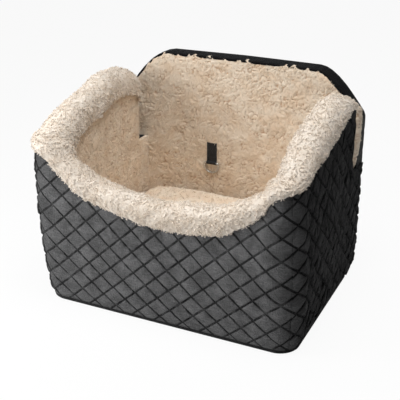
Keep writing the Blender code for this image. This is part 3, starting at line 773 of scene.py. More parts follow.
def levels_between(low: float, high: float, origin: float, step: float) -> tuple[int, Array]:
    """Rows of a column: whole steps from an origin, with the two ends as given.

    Args:
        low: Lowest row.
        high: Highest row.
        origin: Place that the steps are counted from.
        step: Distance between rows.

    Returns:
        The count of the lowest row and the rows.
    """
    first = math.ceil((low - origin) / step + 0.4)
    last = math.floor((high - origin) / step - 0.4)
    inner = origin + step * np.arange(first, max(last, first - 1) + 1)
    return first - 1, np.concatenate([[low], inner, [high]])


@dataclass
class Panel:
    """A panel of cloth: a fine dressed face, a plain back, and ends that can be ragged."""

    name: str
    face: Surface
    back: Surface
    relief: Relief
    places: Array
    levels: list[tuple[int, Array]]
    outward: float = 1.0
    charts: dict[str, Relief] = field(default_factory=dict)

    def faces(self, starts: Array) -> Faces:
        """Faces between the columns, fans where one column is longer, the back and the rims.

        Args:
            starts: Number of each column's first point, and of the back's.

        Returns:
            The points of each face, by their number.
        """
        faces: Faces = []
        last = len(self.places) - 1
        for c in range(last):
            (low_a, rows_a), (low_b, rows_b) = self.levels[c], self.levels[c + 1]
            a, b = starts[c] - low_a, starts[c + 1] - low_b
            low, top_a, top_b = max(low_a, low_b), low_a + len(rows_a) - 1, low_b + len(rows_b) - 1
            top = min(top_a, top_b)
            faces += [(a + r, b + r, b + r + 1, a + r + 1) for r in range(low, top)]
            faces += [(a + r, b + top, a + r + 1) for r in range(top, top_a)]
            faces += [(a + top, b + r, b + r + 1) for r in range(top, top_b)]
            faces += [(a + r, b + low, a + r + 1) for r in range(low_a, low)]
            faces += [(a + low, b + r, b + r + 1) for r in range(low_b, low)]
            back_a, back_b = starts[-1] + 2 * c, starts[-1] + 2 * c + 2
            faces.append((back_b, back_a, back_a + 1, back_b + 1))
            faces.append((a + low_a, back_a, back_b, b + low_b))
            faces.append((a + top_a, b + top_b, back_b + 1, back_a + 1))
        for c, step in ((0, 1), (last, -1)):
            column = list(range(starts[c], starts[c + 1]))
            faces.append(tuple((column + [starts[-1] + 2 * c + 1, starts[-1] + 2 * c])[::step]))
        return faces

    def mesh(self) -> Mesh:
        """Build the closed mesh, with two points of the back for each column."""
        counts = [len(rows) for _, rows in self.levels]
        u = np.repeat(self.places, counts)
        v = np.concatenate([rows for _, rows in self.levels])
        back_u = np.repeat(self.places, 2)
        back_v = np.array([rows[end] for _, rows in self.levels for end in (0, -1)])
        starts = np.concatenate([[0], np.cumsum(counts)])
        return self.closed((u, v), (back_u, back_v), self.faces(starts))

    def layered_mesh(self) -> Mesh:
        """Build the closed mesh of a curved panel, whose back has the rows of its face."""
        rows = self.levels[0][1]
        u, v = (grid.ravel() for grid in np.meshgrid(self.places, rows, indexing="ij"))
        across, up, half = len(self.places), len(rows), len(u)
        faces: Faces = []
        for c in range(across - 1):
            for r in range(up - 1):
                cell = (c * up + r, (c + 1) * up + r, (c + 1) * up + r + 1, c * up + r + 1)
                faces += [cell, tuple(half + i for i in reversed(cell))]
        rim = [c * up for c in range(across)] + [(across - 1) * up + r for r in range(1, up)]
        rim += [c * up + up - 1 for c in range(across - 2, -1, -1)] + list(range(up - 2, 0, -1))
        faces += [(a, b, half + b, half + a) for a, b in zip(rim, rim[1:] + rim[:1])]
        return self.closed((u, v), (u, v), faces)

    def closed(self, face: tuple[Array, Array], back: tuple[Array, Array], faces: Faces) -> Mesh:
        """Build the mesh, with its charts kept as attributes.

        Args:
            face: Places of the face's points along both directions.
            back: Places of the back's points along both directions.
            faces: The points of each polygon, by their number.

        Returns:
            The mesh.
        """
        normal = normals_of(self.face, *face) * self.outward
        front = self.face(*face) + normal * self.relief(*face)[:, None]
        u, v = (np.concatenate(pair) for pair in zip(face, back))
        charts = {"cloth": np.stack([u, v, np.zeros_like(u)], axis=1)}
        charts.update({name: chart(u, v) for name, chart in self.charts.items()})
        return closed_mesh(self.name, np.concatenate([front, self.back(*back)]), faces, charts)


class NodeTree:
    """Short ways to add and link nodes."""

    def __init__(self, tree: bpy.types.NodeTree) -> None:
        """Keep what the nodes go into."""
        self.nodes, self.links = tree.nodes, tree.links

    def feed(self, socket: NodeSocket, value: Any) -> None:
        """Link a socket to another, or set its value.

        Args:
            socket: The input to feed.
            value: The output of a node, or a plain value.
        """
        if isinstance(value, NodeSocket):
            self.links.new(value, socket)
        else:
            socket.default_value = value

    def add(self, kind: str, inputs: dict[Any, Any] | None = None, **settings: Any) -> Node:
        """Add a node.

        Args:
            kind: Blender's name of the node.
            inputs: Values or sockets by the input's name or number.
            settings: Properties of the node.

        Returns:
            The node.
        """
        node = self.nodes.new(kind)
        for key, value in settings.items():
            setattr(node, key, value)
        for key, value in (inputs or {}).items():
            self.feed(node.inputs[key], value)
        return node

    def math(self, operation: str, first: Any, second: Any = 0.0) -> NodeSocket:
        """Give the result of a sum on one or two values."""
        return self.add("ShaderNodeMath", {0: first, 1: second}, operation=operation).outputs[0]

    def times(self, first: Any, second: Any) -> NodeSocket:
        """Multiply two values."""
        return self.math("MULTIPLY", first, second)

    def vector(self, x: Any, y: Any, z: Any) -> NodeSocket:
        """Give a vector of three values."""
        return self.add("ShaderNodeCombineXYZ", {0: x, 1: y, 2: z}).outputs[0]

    def split(self, vector: Any) -> Sequence[NodeSocket]:
        """Give the three values of a vector."""
        return self.add("ShaderNodeSeparateXYZ", {0: vector}).outputs

    def ramp(self, value: Any, low: float, high: float, to_low: float = 0.0,
             to_high: float = 1.0) -> NodeSocket:
        """Map a value smoothly from one range to another."""
        return self.add("ShaderNodeMapRange", {0: value, 1: low, 2: high, 3: to_low, 4: to_high},
                        interpolation_type="SMOOTHSTEP").outputs[0]


class Tree(NodeTree):
    """The nodes of a material."""

    def __init__(self, name: str) -> None:
        """Start a material with its Principled shader.

        Args:
            name: Name of the material.
        """
        self.material = bpy.data.materials.new(name)
        self.material.use_nodes = True
        super().__init__(self.material.node_tree)
        self.shader = self.nodes["Principled BSDF"]

    def mix(self, factor: Any, first: Any, second: Any, blend: str = "MIX") -> NodeSocket:
        """Mix two colours, each given as itself or as a socket."""
        colours = [c if isinstance(c, NodeSocket) else (*c, 1.0) for c in (first, second)]
        return self.add("ShaderNodeMix", {0: factor, 6: colours[0], 7: colours[1]}, data_type="RGBA",
                        blend_type=blend).outputs[2]

    def noise(self, vector: Any, scale: float, detail: float = 3.0,
              rough: float = 0.55) -> NodeSocket:
        """Give noise from 0 to 1 at a vector."""
        return self.add("ShaderNodeTexNoise", {"Vector": vector, "Scale": scale, "Detail": detail,
                                               "Roughness": rough}).outputs["Fac"]

    def streaks(self, vector: Any, scale: tuple[float, float], detail: float,
                rough: float) -> NodeSocket:
        """Give noise with a scale of its own along each of a flat chart's directions."""
        wide = self.add("ShaderNodeMapping", {"Vector": vector, "Scale": (*scale, 1.0)}).outputs[0]
        return self.noise(wide, 1.0, detail, rough)

    def place(self) -> NodeSocket:
        """Give the Object coordinates."""
        return self.add("ShaderNodeTexCoord").outputs["Object"]

    def chart(self, name: str) -> Node:
        """Read an attribute that a piece keeps for its points."""
        return self.add("ShaderNodeAttribute", attribute_name=name)

    def bump(self, height: Any, distance: float, strength: float = 1.0,
             under: Any = None) -> NodeSocket:
        """Give a normal roughened by a height.

        Args:
            height: The height's socket.
            distance: Depth of the relief in metres.
            strength: How much of it shows.
            under: Another bump that it lies over, if there is one.

        Returns:
            The normal's socket.
        """
        inputs = {"Height": height, "Distance": distance, "Strength": strength}
        if under is not None:
            inputs["Normal"] = under
        return self.add("ShaderNodeBump", inputs).outputs[0]

    def weave(self, vector: Any, thread: float) -> NodeSocket:
        """Give the height of a plain weave.

        Args:
            vector: Place on the cloth.
            thread: Distance from thread to thread.

        Returns:
            The height's socket.
        """
        scale = math.pi / 10 / (2 * thread)
        waves = [self.add("ShaderNodeTexWave", {"Vector": vector, "Scale": scale}, wave_type="BANDS",
                          bands_direction=axis).outputs["Fac"] for axis in ("X", "Y")]
        return self.times(*waves)

    def finish(self, **values: Any) -> Material:
        """Feed the shader's inputs and give the material.

        Args:
            values: Values or sockets by the input's name, with an underscore for each space.

        Returns:
            The material.
        """
        for key, value in values.items():
            self.feed(self.shader.inputs[key.replace("_", " ")], value)
        return self.material


@dataclass(frozen=True)
class QuiltedNylon:
    """Diamond-quilted nylon: stitch grooves darkened with painted shade, fine creases and a low sheen.
    """

    name: str = "quilted_nylon"
    colour: Colour = (0.172, 0.172, 0.174)
    # Painted shade in the stitch grooves, also given to a dark band along the foot.
    groove: Colour = (0.003, 0.003, 0.0035)
    roughness: float = 0.50
    shine: float = 0.2
    quilted: bool = True
    # Painted shade: the darker colour that the cloth fades to over the runs in corner, round the front
    # corners, and keeps along the sides.
    side_shade_colour: Colour | None = None
    round_shine: float = 0.05
    corner: tuple[float, float] = (0.220, 0.315)
    groove_width: tuple[float, float] = (0.030, 0.085)
    hem_height: tuple[float, float] = (0.0075, 0.0125)
    stitches: float = 11.0
    stitch_gap: float = 0.3
    thread_width: float = 0.011

    def build(self) -> Material:
        """Build the material; with a second colour, painted shade darkens it towards that colour round
        the corners.
        """
        tree = Tree(self.name)
        cloth = tree.chart("cloth").outputs["Vector"]
        colour_with_side_shade, shine = self.colour, self.shine
        # Painted shade: darken the colour round the corners and along the sides.
        if self.side_shade_colour is not None:
            run = tree.math("ABSOLUTE", tree.split(cloth)[0])
            colour_with_side_shade = tree.mix(tree.ramp(run, *self.corner), colour_with_side_shade, self.side_shade_colour)
            shine = tree.ramp(run, *self.corner, shine, self.round_shine)
        cloud = tree.noise(cloth, 26.0, 4.0)
        streak = tree.streaks(cloth, (60.0, 420.0), 4.0, 0.6)
        shade = tree.times(tree.ramp(cloud, 0.25, 0.8, 0.58, 1.30),
                           tree.ramp(streak, 0.3, 0.75, 0.82, 1.18))
        colour = tree.mix(1.0, colour_with_side_shade, shade, "MULTIPLY")
        normal = tree.bump(tree.weave(cloth, 0.0007), 0.00012, 0.5)
        normal = tree.bump(tree.streaks(cloth, (140.0, 260.0), 5.0, 0.62), 0.0085, 0.7, normal)
        crinkle = tree.math("SUBTRACT", tree.streaks(cloth, (230.0, 90.0), 3.0, 0.5), 0.5)
        crinkle = tree.ramp(tree.math("ABSOLUTE", crinkle), 0.0, 0.14)
        normal = tree.bump(crinkle, 0.0022, 0.7, normal)
        if self.quilted:
            groove_shade, thread = self.seams(tree, cloth)
            plain = colour
            # Painted shade: the grooves and the foot take the dark groove colour.
            colour = tree.mix(groove_shade, plain, self.groove)
            colour = tree.mix(tree.times(thread, 0.55), colour, plain)
            normal = tree.bump(thread, 0.0005, 0.7, normal)
        rough = tree.ramp(cloud, 0.2, 0.8, self.roughness - 0.06, self.roughness + 0.08)
        return tree.finish(Base_Color=colour, Roughness=rough, Normal=normal,
                           Specular_IOR_Level=shine)

    def seams(self, tree: Tree, cloth: NodeSocket) -> tuple[NodeSocket, ...]:
        """Find the quilting's grooves, which take painted shade, and the dashes of thread in them.

        Args:
            tree: The material's nodes.
            cloth: Run and height on the cloth.

        Returns:
            How much of a point takes the grooves' painted shade or the dark band at the foot, and
            whether it is thread.
        """
        counts = tree.split(tree.chart("quilt").outputs["Vector"])
        lines, dashes = [], []
        for axis in (0, 1):
            near = tree.math("FRACT", tree.math("ADD", counts[axis], 0.5))
            lines.append(tree.math("ABSOLUTE", tree.math("SUBTRACT", near, 0.5)))
            along = tree.math("FRACT", tree.times(counts[1 - axis], self.stitches))
            dashes.append(tree.times(tree.math("GREATER_THAN", along, self.stitch_gap),
                                     tree.math("LESS_THAN", lines[axis], self.thread_width)))
        groove_shade = tree.times(tree.ramp(tree.math("MINIMUM", *lines), *self.groove_width, 1.0, 0.0),
                          tree.ramp(tree.noise(cloth, 55.0, 3.0), 0.32, 0.55, 0.55, 1.0))
        hem = tree.ramp(tree.split(cloth)[1], *self.hem_height, 1.0, 0.0)
        return tree.math("MAXIMUM", groove_shade, hem), tree.math("MAXIMUM", *dashes)


@dataclass(frozen=True)
class CurlyFleece:
    """Thick cream fleece: pale curls, with a warmer, browner painted shade in the cracks between them.
    """

    name: str = "curly_fleece"
    tip: Colour = (0.88, 0.765, 0.625)
    warm: Colour = (0.82, 0.665, 0.505)
    # Painted shade in the pile's cracks.
    crack: Colour = (0.60, 0.40, 0.255)
    loose: bool = False
    nap: float = 0.0016

    def build(self) -> Material:
        """Build the material."""
        tree = Tree(self.name)
        place = tree.place()
        cloud = tree.noise(place, 26.0, 4.0, 0.6)
        tuft = tree.noise(place, 230.0, 4.0, 0.65)
        fibre = tree.noise(place, 1100.0, 3.0, 0.7)
        pale = tree.mix(tree.ramp(cloud, 0.35, 0.68), self.tip, self.warm)
        colour = pale
        if not self.loose:
            stir = tree.times(tree.math("SUBTRACT", tuft, 0.5), 0.2)
            depth = tree.math("ADD", tree.chart("pile").outputs["Fac"], stir)
            # Painted shade: where the pile is low, in its cracks, the colour turns to the crack colour.
            colour = tree.mix(tree.ramp(depth, 0.05, 0.66), self.crack, pale)
        colour = tree.mix(tree.ramp(fibre, 0.5, 0.85, 0.0, 0.3), colour, (0.95, 0.87, 0.76))
        normal = tree.bump(tuft, self.nap, 0.7)
        normal = tree.bump(fibre, 0.0004, 0.6, normal)
        return tree.finish(Base_Color=colour, Normal=normal, Roughness=0.95, Specular_IOR_Level=0.1,
                           Sheen_Weight=0.3, Sheen_Roughness=0.5)


@dataclass(frozen=True)
class WovenNylon:
    """Woven nylon of a binding, a tape or a webbing."""

    name: str
    colour: Colour = (0.016, 0.016, 0.017)
    thread: float = 0.0011
    roughness: float = 0.62

    def build(self) -> Material:
        """Build the material."""
        tree = Tree(self.name)
        place = tree.place()
        x, y, z = tree.split(place)
        weave = tree.weave(tree.vector(tree.math("ADD", x, y), z, 0.0), self.thread)
        shade = tree.ramp(tree.noise(place, 90.0, 4.0), 0.3, 0.75, 0.75, 1.3)
        shade = tree.times(shade, tree.ramp(weave, 0.0, 0.7, 0.7, 1.25))
        colour = tree.mix(1.0, self.colour, shade, "MULTIPLY")
        return tree.finish(Base_Color=colour, Normal=tree.bump(weave, 0.0005, 0.8),
                           Roughness=self.roughness, Specular_IOR_Level=0.35, Sheen_Weight=0.05)


@dataclass(frozen=True)
class Foam:
    """Open-cell foam of the hidden walls."""

    name: str = "open_cell_foam"
    colour: Colour = (0.80, 0.77, 0.66)

    def build(self) -> Material:
        """Build the material."""
        tree = Tree(self.name)
        place = tree.place()
        pores = tree.add("ShaderNodeTexVoronoi", {"Vector": place, "Scale": 700.0}).outputs["Distance"]
        colour = tree.mix(tree.ramp(pores, 0.1, 0.5), self.colour, tuple(0.72 * c for c in self.colour))
        return tree.finish(Base_Color=colour, Normal=tree.bump(pores, 0.0006), Roughness=0.95)


@dataclass(frozen=True)
class Metal:
    """Plated or enamelled metal with a faint grain."""

    name: str
    colour: Colour
    metallic: float
    roughness: float

    def build(self) -> Material:
        """Build the material."""
        tree = Tree(self.name)
        place = tree.place()
        grain = tree.noise(place, 900.0, 4.0)
        wear = tree.noise(place, 160.0, 5.0, 0.65)
        colour = tree.mix(tree.ramp(wear, 0.55, 0.8, 0.0, 0.3), self.colour,
                          tuple(min(1.0, 1.35 * c + 0.02) for c in self.colour))
        rough = tree.ramp(grain, 0.2, 0.8, self.roughness - 0.06, self.roughness + 0.1)
        return tree.finish(Base_Color=colour, Normal=tree.bump(grain, 0.00008, 0.5), Roughness=rough,
                           Metallic=self.metallic)


@dataclass(frozen=True)
class ToothPlastic:
    """Moulded plastic of the zip's teeth."""

    name: str = "zip_teeth"
    colour: Colour = (0.022, 0.022, 0.024)

    def build(self) -> Material:
        """Build the material."""
        tree = Tree(self.name)
        cloud = tree.noise(tree.place(), 300.0, 3.0)
        colour = tree.mix(tree.ramp(cloud, 0.3, 0.7), self.colour, tuple(1.5 * c for c in self.colour))
        return tree.finish(Base_Color=colour, Roughness=tree.ramp(cloud, 0.2, 0.8, 0.3, 0.46))


@dataclass(frozen=True)
class GripCloth:
    """Coarse non-slip cloth of the underside."""

    name: str = "grip_cloth"
    colour: Colour = (0.028, 0.028, 0.030)

    def build(self) -> Material:
        """Build the material."""
        tree = Tree(self.name)
        place = tree.place()
        weave = tree.weave(place, 0.0022)
        cloud = tree.noise(place, 35.0, 4.0)
        colour = tree.mix(tree.ramp(weave, 0.0, 0.6), tuple(0.5 * c for c in self.colour), self.colour)
        colour = tree.mix(tree.ramp(cloud, 0.5, 0.9, 0.0, 0.3), colour, (0.06, 0.058, 0.055))
        return tree.finish(Base_Color=colour, Normal=tree.bump(weave, 0.0009), Roughness=0.85)


class Finishes:
    """Every finish of the seat, built once."""

    def __init__(self) -> None:
        """Build the materials."""
        # Painted shade: a much darker copy of the front nylon's colour, which the front fades to round
        # its corners, the side panels keep, and the rear panels' nylon takes.
        painted_side_shade: Colour = (0.024, 0.024, 0.0245)
        self.nylon = QuiltedNylon(side_shade_colour=painted_side_shade).build()
        self.side_nylon = QuiltedNylon("side_nylon_painted_shade", painted_side_shade, (0.002, 0.002, 0.0025),
                                       shine=0.05).build()
        self.border_nylon = QuiltedNylon("border_nylon", (0.009, 0.009, 0.010), roughness=0.45,
                                         shine=0.09, quilted=False).build()
        self.fleece = CurlyFleece().build()
        self.curls = CurlyFleece("loose_curls", loose=True).build()
        self.cuff = CurlyFleece("cuff_plush", (0.88, 0.79, 0.69), (0.82, 0.715, 0.60),
                                (0.70, 0.585, 0.47), nap=0.0030).build()
        self.tufts = CurlyFleece("cuff_tufts", (0.93, 0.835, 0.73), (0.86, 0.75, 0.63),
                                 loose=True).build()
        self.piping = WovenNylon("piping_cloth", (0.010, 0.010, 0.011), 0.0008, 0.5).build()
        self.binding = WovenNylon("binding_cloth").build()
        self.tape = WovenNylon("zip_tape_cloth", thread=0.0006).build()
        self.webbing = WovenNylon("webbing_cloth", thread=0.0015).build()
        self.thread = WovenNylon("sewing_thread", (0.030, 0.030, 0.032), 0.0004).build()
        self.foam = Foam().build()
        self.teeth = ToothPlastic().build()
        self.enamel = Metal("black_enamel", (0.030, 0.030, 0.032), 0.6, 0.32).build()
        self.nickel = Metal("nickel_plate", (0.62, 0.61, 0.59), 1.0, 0.24).build()
        self.grip = GripCloth().build()


class GeometryTree(NodeTree):
    """A geometry node group with named inputs, run once on an object and applied."""

    def __init__(self, name: str, sizes: dict[str, float], counts: dict[str, int] | None = None) -> None:
        """Start a group.

        Args:
            name: Name of the group.
            sizes: Lengths and other real numbers, by the input's name.
            counts: Whole numbers, by the input's name.
        """
        self.group = bpy.data.node_groups.new(name, "GeometryNodeTree")
        super().__init__(self.group)
        face = self.group.interface
        face.new_socket("Geometry", in_out="INPUT", socket_type="NodeSocketGeometry")
        self.values: dict[str, Any] = {}
        for values, kind in ((sizes, "NodeSocketFloat"), (counts or {}, "NodeSocketInt")):
            for key, value in values.items():
                face.new_socket(key, in_out="INPUT", socket_type=kind)
                self.values[key] = value
        face.new_socket("Material", in_out="INPUT", socket_type="NodeSocketMaterial")
        face.new_socket("Geometry", in_out="OUTPUT", socket_type="NodeSocketGeometry")
        self.given = self.nodes.new("NodeGroupInput").outputs

    def copies(self, points: Any, instance: Any, **how: Any) -> None:
        """Put a copy on each point, make the copies real and dress them, and close the group.

        Args:
            points: Where the copies go.
            instance: What is copied.
            how: Rotation and scale, where they aren't the usual ones.
        """
        spread = {"Points": points, "Instance": instance, **how}
        copies = self.add("GeometryNodeInstanceOnPoints", spread).outputs[0]
        real = self.add("GeometryNodeRealizeInstances", {0: copies}).outputs[0]
        dressed = self.add("GeometryNodeSetMaterial", {"Geometry": real,
                                                       "Material": self.given["Material"]})
        self.add("NodeGroupOutput", {0: dressed.outputs[0]})

    def run(self, name: str, data: ID, material: Material) -> Mesh:
        """Run the group on a mesh or a curve.

        Args:
            name: Name of the result.
            data: The mesh or curve that the group starts from.
            material: The material that the result gets.

        Returns:
            A plain mesh.
        """
        carrier = add_object(name + "_carrier", data)
        modifier = carrier.modifiers.new(self.group.name, "NODES")
        modifier.node_group = self.group
        values = {**self.values, "Material": material}
        for item in self.group.interface.items_tree:
            if item.in_out == "INPUT" and item.name in values:
                modifier[item.identifier] = values[item.name]
        return baked(carrier, name)


def stitch_mesh(name: str, lines: Sequence[Path], material: Material, pitch: float = 0.0034,
                length: float = 0.0026, radius: float = 0.00035) -> Mesh:
    """Sew a row of stitches along each line.

    Args:
        name: Name of the result.
        lines: Points of each row.
        material: The thread's finish.
        pitch: Distance from stitch to stitch.
        length: Length of one stitch.
        radius: Half of the thread's thickness.

    Returns:
        The mesh of the stitches.
    """
    tree = GeometryTree("stitches", {"Pitch": pitch, "Stitch Length": length, "Thread Radius": radius})
    given = tree.given
    rows = tree.add("GeometryNodeResampleCurve", {"Curve": given["Geometry"], "Length": given["Pitch"]},
                    mode="LENGTH")
    ball = tree.add("GeometryNodeMeshUVSphere", {"Segments": 5, "Rings": 4, "Radius": 1.0})
    tangent = tree.add("GeometryNodeInputTangent").outputs[0]
    turn = tree.add("FunctionNodeAlignRotationToVector", {"Vector": tangent}, axis="Z")
    size = tree.vector(given["Thread Radius"], given["Thread Radius"],
                       tree.times(given["Stitch Length"], 0.5))
    tree.copies(rows.outputs[0], ball.outputs[0], Rotation=turn.outputs[0], Scale=size)
    mesh = tree.run(name, poly_curve(name, lines), material)
    mesh.shade_smooth()
    return mesh


@dataclass(frozen=True)
class Yarn:
    """Sizes of the loose wool that stands up from a fleece skin."""

    density: float = 22000.0
    curl: float = 0.0016
    radius: float = 0.0005
    rise: float = 0.0018
    turns: float = 0.6
    floor: float = 0.55


def curl_mesh(name: str, skin: Mesh, material: Material, yarn: Yarn, seed: int) -> Mesh:
    """Grow small loose curls of wool on the pile of a fleece skin.

    Args:
        name: Name of the result.
        skin: The fleece, whose attribute named pile is above 0 where curls grow.
        material: The curls' finish.
        yarn: Sizes and number of the curls.
        seed: Seed of the scatter.

    Returns:
        The mesh of the curls.
    """
    tree = GeometryTree("wool_curls", {"Density": yarn.density, "Curl Radius": yarn.curl,
                                       "Yarn Radius": yarn.radius, "Curl Rise": yarn.rise,
                                       "Turns": yarn.turns, "Pile Floor": yarn.floor}, {"Seed": seed})
    given = tree.given
    pile = tree.add("GeometryNodeInputNamedAttribute", {"Name": "pile"}, data_type="FLOAT").outputs[0]
    spread = tree.add("GeometryNodeDistributePointsOnFaces", {
        "Mesh": given["Geometry"], "Selection": tree.math("GREATER_THAN", pile, given["Pile Floor"]),
        "Density": given["Density"], "Seed": given["Seed"]}, distribute_method="RANDOM")
    spiral = tree.add("GeometryNodeCurveSpiral", {
        "Resolution": 4, "Rotations": given["Turns"], "Start Radius": given["Curl Radius"],
        "End Radius": tree.times(given["Curl Radius"], 0.45), "Height": given["Curl Rise"]})
    ring = tree.add("GeometryNodeCurvePrimitiveCircle", {"Resolution": 3,
                                                         "Radius": given["Yarn Radius"]})
    curl = tree.add("GeometryNodeCurveToMesh", {"Curve": spiral.outputs[0],
                                                "Profile Curve": ring.outputs[0], "Fill Caps": True})
    spin = tree.add("FunctionNodeRandomValue", {0: (-0.7, -0.7, 0.0), 1: (0.7, 0.7, 6.28), "Seed": 5},
                    data_type="FLOAT_VECTOR")
    turn = tree.add("FunctionNodeRotateRotation", {
        "Rotation": spread.outputs["Rotation"], "Rotate By": spin.outputs[0]}, rotation_space="LOCAL")
    size = tree.add("FunctionNodeRandomValue", {2: 0.75, 3: 1.35, "Seed": 9}, data_type="FLOAT")
    tree.copies(spread.outputs["Points"], curl.outputs[0], Rotation=turn.outputs[0],
                Scale=size.outputs[1])
    mesh = tree.run(name, skin.copy(), material)
    mesh.shade_smooth()
    return mesh


@dataclass
class QuiltedCover:
    """The zip-off nylon cover: wall panels, rear panels, border and piping."""

    shape: SeatShape
    finishes: Finishes
    quilt: Quilt = Quilt()
    belly: float = 0.009
    seam_fade: float = 0.004
    side_gathers: float = 0.0030

    @property
    def plane(self) -> float:
        """Length of the leaning front for each unit of height."""
        return math.hypot(1.0, self.shape.lean_reach / self.shape.corner_height)

    def wall_relief(self, run: Array, height: Array, seed: int, gathers: float) -> Array:
        """Quilting of a wall panel, with gathers along its rim and down its sides.

        Args:
            run: Way round the cover.
            height: Height above the floor.
            seed: Seed of the wrinkles.
            gathers: Depth of the upright gathers over the whole panel.

        Returns:
            Heights over the solid's face in metres.
        """
        pad = self.quilt.relief(run, height * self.plane, seed)
        drift = run + 0.006 * value_noise(run / 0.03, height / 0.028, seed + 6)
        pucker = ridged(value_noise(drift / 0.0075, height / 0.048, seed + 3))
        fold = value_noise(drift / 0.022, height / 0.06, seed + 4)
        rim = np.exp(-unit(self.shape.edge(run) - height) / 0.012)
        wave = gathers * (0.7 * pucker + 0.3 * fold) * (0.15 + 0.85 * unit(pad / 0.002))
        hem = 1 - np.exp(-unit(height - self.shape.above_welt) / 0.006)
        return (pad * (1 - 0.55 * rim) + wave + 0.0016 * rim * pucker) * hem + self.body(run, height)

    def body(self, run: Array, height: Array) -> Array:
        """Slow swell of a padded wall.

        Args:
            run: Way round the cover.
            height: Height above the floor.

        Returns:
            Heights over the solid's face in metres.
        """
        share = unit(height / self.shape.edge(run))
        rear = unit((np.abs(run) - self.shape.run_of(-0.03)) / 0.11)
        foot = unit(height / 0.035)
        return self.belly * np.sin(np.pi * share) ** 0.8 * eased(foot) * (1 - eased(rear))

    def wall(self, name: str, start: float, end: float, gathers: float, seed: int) -> None:
        """Make one wall panel of the cover.

        Args:
            name: Name of the solid that it stands for.
            start: Run of its first edge.
            end: Run of its last edge.
            gathers: Depth of the upright gathers.
            seed: Seed of its wrinkles.
        """
        shape, quilt, plane = self.shape, self.quilt, self.plane
        places = shape.columns(start, end, quilt.start_run, quilt.run_step)
        levels = []
        for run in places:
            low, high = shape.above_welt, float(shape.edge(run))
            if shape.past_wall(run):
                y = shape.side_start_y + abs(run) - shape.run_side
                low, high = max(low, float(shape.arc_floor(y))), shape.slot_floor
            levels.append(levels_between(low, high, quilt.start_height / plane,
                                         quilt.height_step / plane))
        panel = Panel("dressed_" + name, shape.layer(0.0), shape.layer(shape.cover - shape.gap),
                      lambda u, v: self.wall_relief(u, v, seed, gathers), places, levels, 1.0,
                      {"quilt": lambda u, v: quilt.chart(u, v * plane)})
        seat_piece(panel.name, panel.mesh(), self.finishes.nylon, SEAT, "quilted_nylon", name)

    def walls(self) -> None:
        """Make the front panel and the two side panels."""
        shape = self.shape
        spans = shape.spans(shape.run_of(shape.rear_y - shape.cover - shape.gap))
        depths = (0.0, self.side_gathers, self.side_gathers)
        for (word, start, end), gathers, seed in zip(spans, depths, (11, 23, 37)):
            self.wall("cover_" + word, start, end, gathers, seed)

    def rear_upper(self) -> None:
        """Make the rear panel above the zip."""
        shape, quilt = self.shape, self.quilt
        foot = shape.zip_height + shape.zip_window_half
        _, places = levels_between(-shape.half, shape.half, 0.0, quilt.run_step)
        levels = [levels_between(foot, float(shape.back_top(0.0, x)), quilt.start_height,
                                 quilt.height_step) for x in places]

        def relief(x: Array, z: Array) -> Array:
            """Quilting that goes flat at the panel's top and foot."""
            rim = np.minimum(unit(shape.back_top(0.0, x) - z), z - foot)
            return quilt.relief(x, z, 51) * (1 - np.exp(-rim / self.seam_fade))

        panel = Panel("dressed_cover_back_upper", flat_at(shape.rear_y, 1),
                      flat_at(shape.rear_y - shape.cover, 1), relief, places, levels, -1.0,
                      {"quilt": quilt.chart})
        seat_piece(panel.name, panel.mesh(), self.finishes.side_nylon, SEAT, "quilted_nylon",
                   "cover_back_upper")

    def rear_lower(self) -> None:
        """Make the panel that turns from the rear to the underside below the zip."""
        shape, quilt, bend = self.shape, self.quilt, self.shape.rear_radius
        start = math.asin((shape.welt_radius + 2 * shape.gap) / (bend - shape.cover)) * bend
        arc = bend * math.pi / 2
        end = arc + shape.zip_height - shape.zip_window_half - bend

        def sheet(inset: float) -> Surface:
            """Surface at an inset, by place across the seat and way up from the underside."""
            def points(x: Array, v: Array) -> Array:
                """Points of the surface."""
                angle, radius = np.minimum(v / bend, math.pi / 2), bend - inset
                up = bend - radius * np.cos(angle) + np.maximum(v - arc, 0.0)
                return np.stack([x, shape.arc_y + radius * np.sin(angle), up], axis=-1)
            return points

        def relief(x: Array, v: Array) -> Array:
            """Quilting that goes flat at both edges and towards the underside."""
            hem = 1 - np.exp(-np.minimum(v - start, end - v) / self.seam_fade)
            return quilt.relief(x, v, 63) * hem * unit((v - 0.02) / 0.03)

        _, places = levels_between(-shape.half, shape.half, 0.0, quilt.run_step)
        rows = levels_between(start, end, 0.0, quilt.height_step)
        panel = Panel("dressed_cover_back_lower", sheet(0.0), sheet(shape.cover - shape.gap), relief,
                      places, [rows] * len(places), -1.0, {"quilt": quilt.chart})
        seat_piece(panel.name, panel.layered_mesh(), self.finishes.side_nylon, SEAT, "quilted_nylon",
                   "cover_back_lower")

    def border(self) -> None:
        """Make the band of gathers round the backrest's edge."""
        shape = self.shape
        foot = shape.slot_floor + shape.gap
        outer, inner = (shape.back_outline(inset, foot) for inset in (0.0, shape.cover))
        lengths = path_lengths(outer)
        low, high = shape.back_lining_front_y, shape.rear_y - shape.cover - shape.gap

        def sheet(outline: Array) -> Surface:
            """Surface over an outline, by way along the outer one and place along Y."""
            def points(u: Array, y: Array) -> Array:
                """Points of the surface."""
                x, z = (np.interp(u, lengths, outline[:, i]) for i in (0, 1))
                return np.stack([x, y, z], axis=-1)
            return points

        def relief(u: Array, y: Array) -> Array:
            """Gathers across the band, lower at its two hems."""
            hem = np.exp(-np.minimum(y - low, high - y) / 0.003)
            gather = ridged(value_noise(u / 0.008, y / 0.05, 71))
            slow = value_noise(u / 0.03, y / 0.03, 72)
            return (0.0013 * gather + 0.0012 * slow) * (1 - 0.8 * hem) - 0.0002

        places = np.arange(0.0, lengths[-1] + 0.001, 0.0022)
        places[-1] = lengths[-1]
        rows = levels_between(low, high, 0.0, 0.0025)
        panel = Panel("dressed_back_border", sheet(outer), sheet(inner), relief, places,
                      [rows] * len(places))
        seat_piece(panel.name, panel.mesh(), self.finishes.border_nylon, SEAT, "quilted_nylon",
                   "back_border")

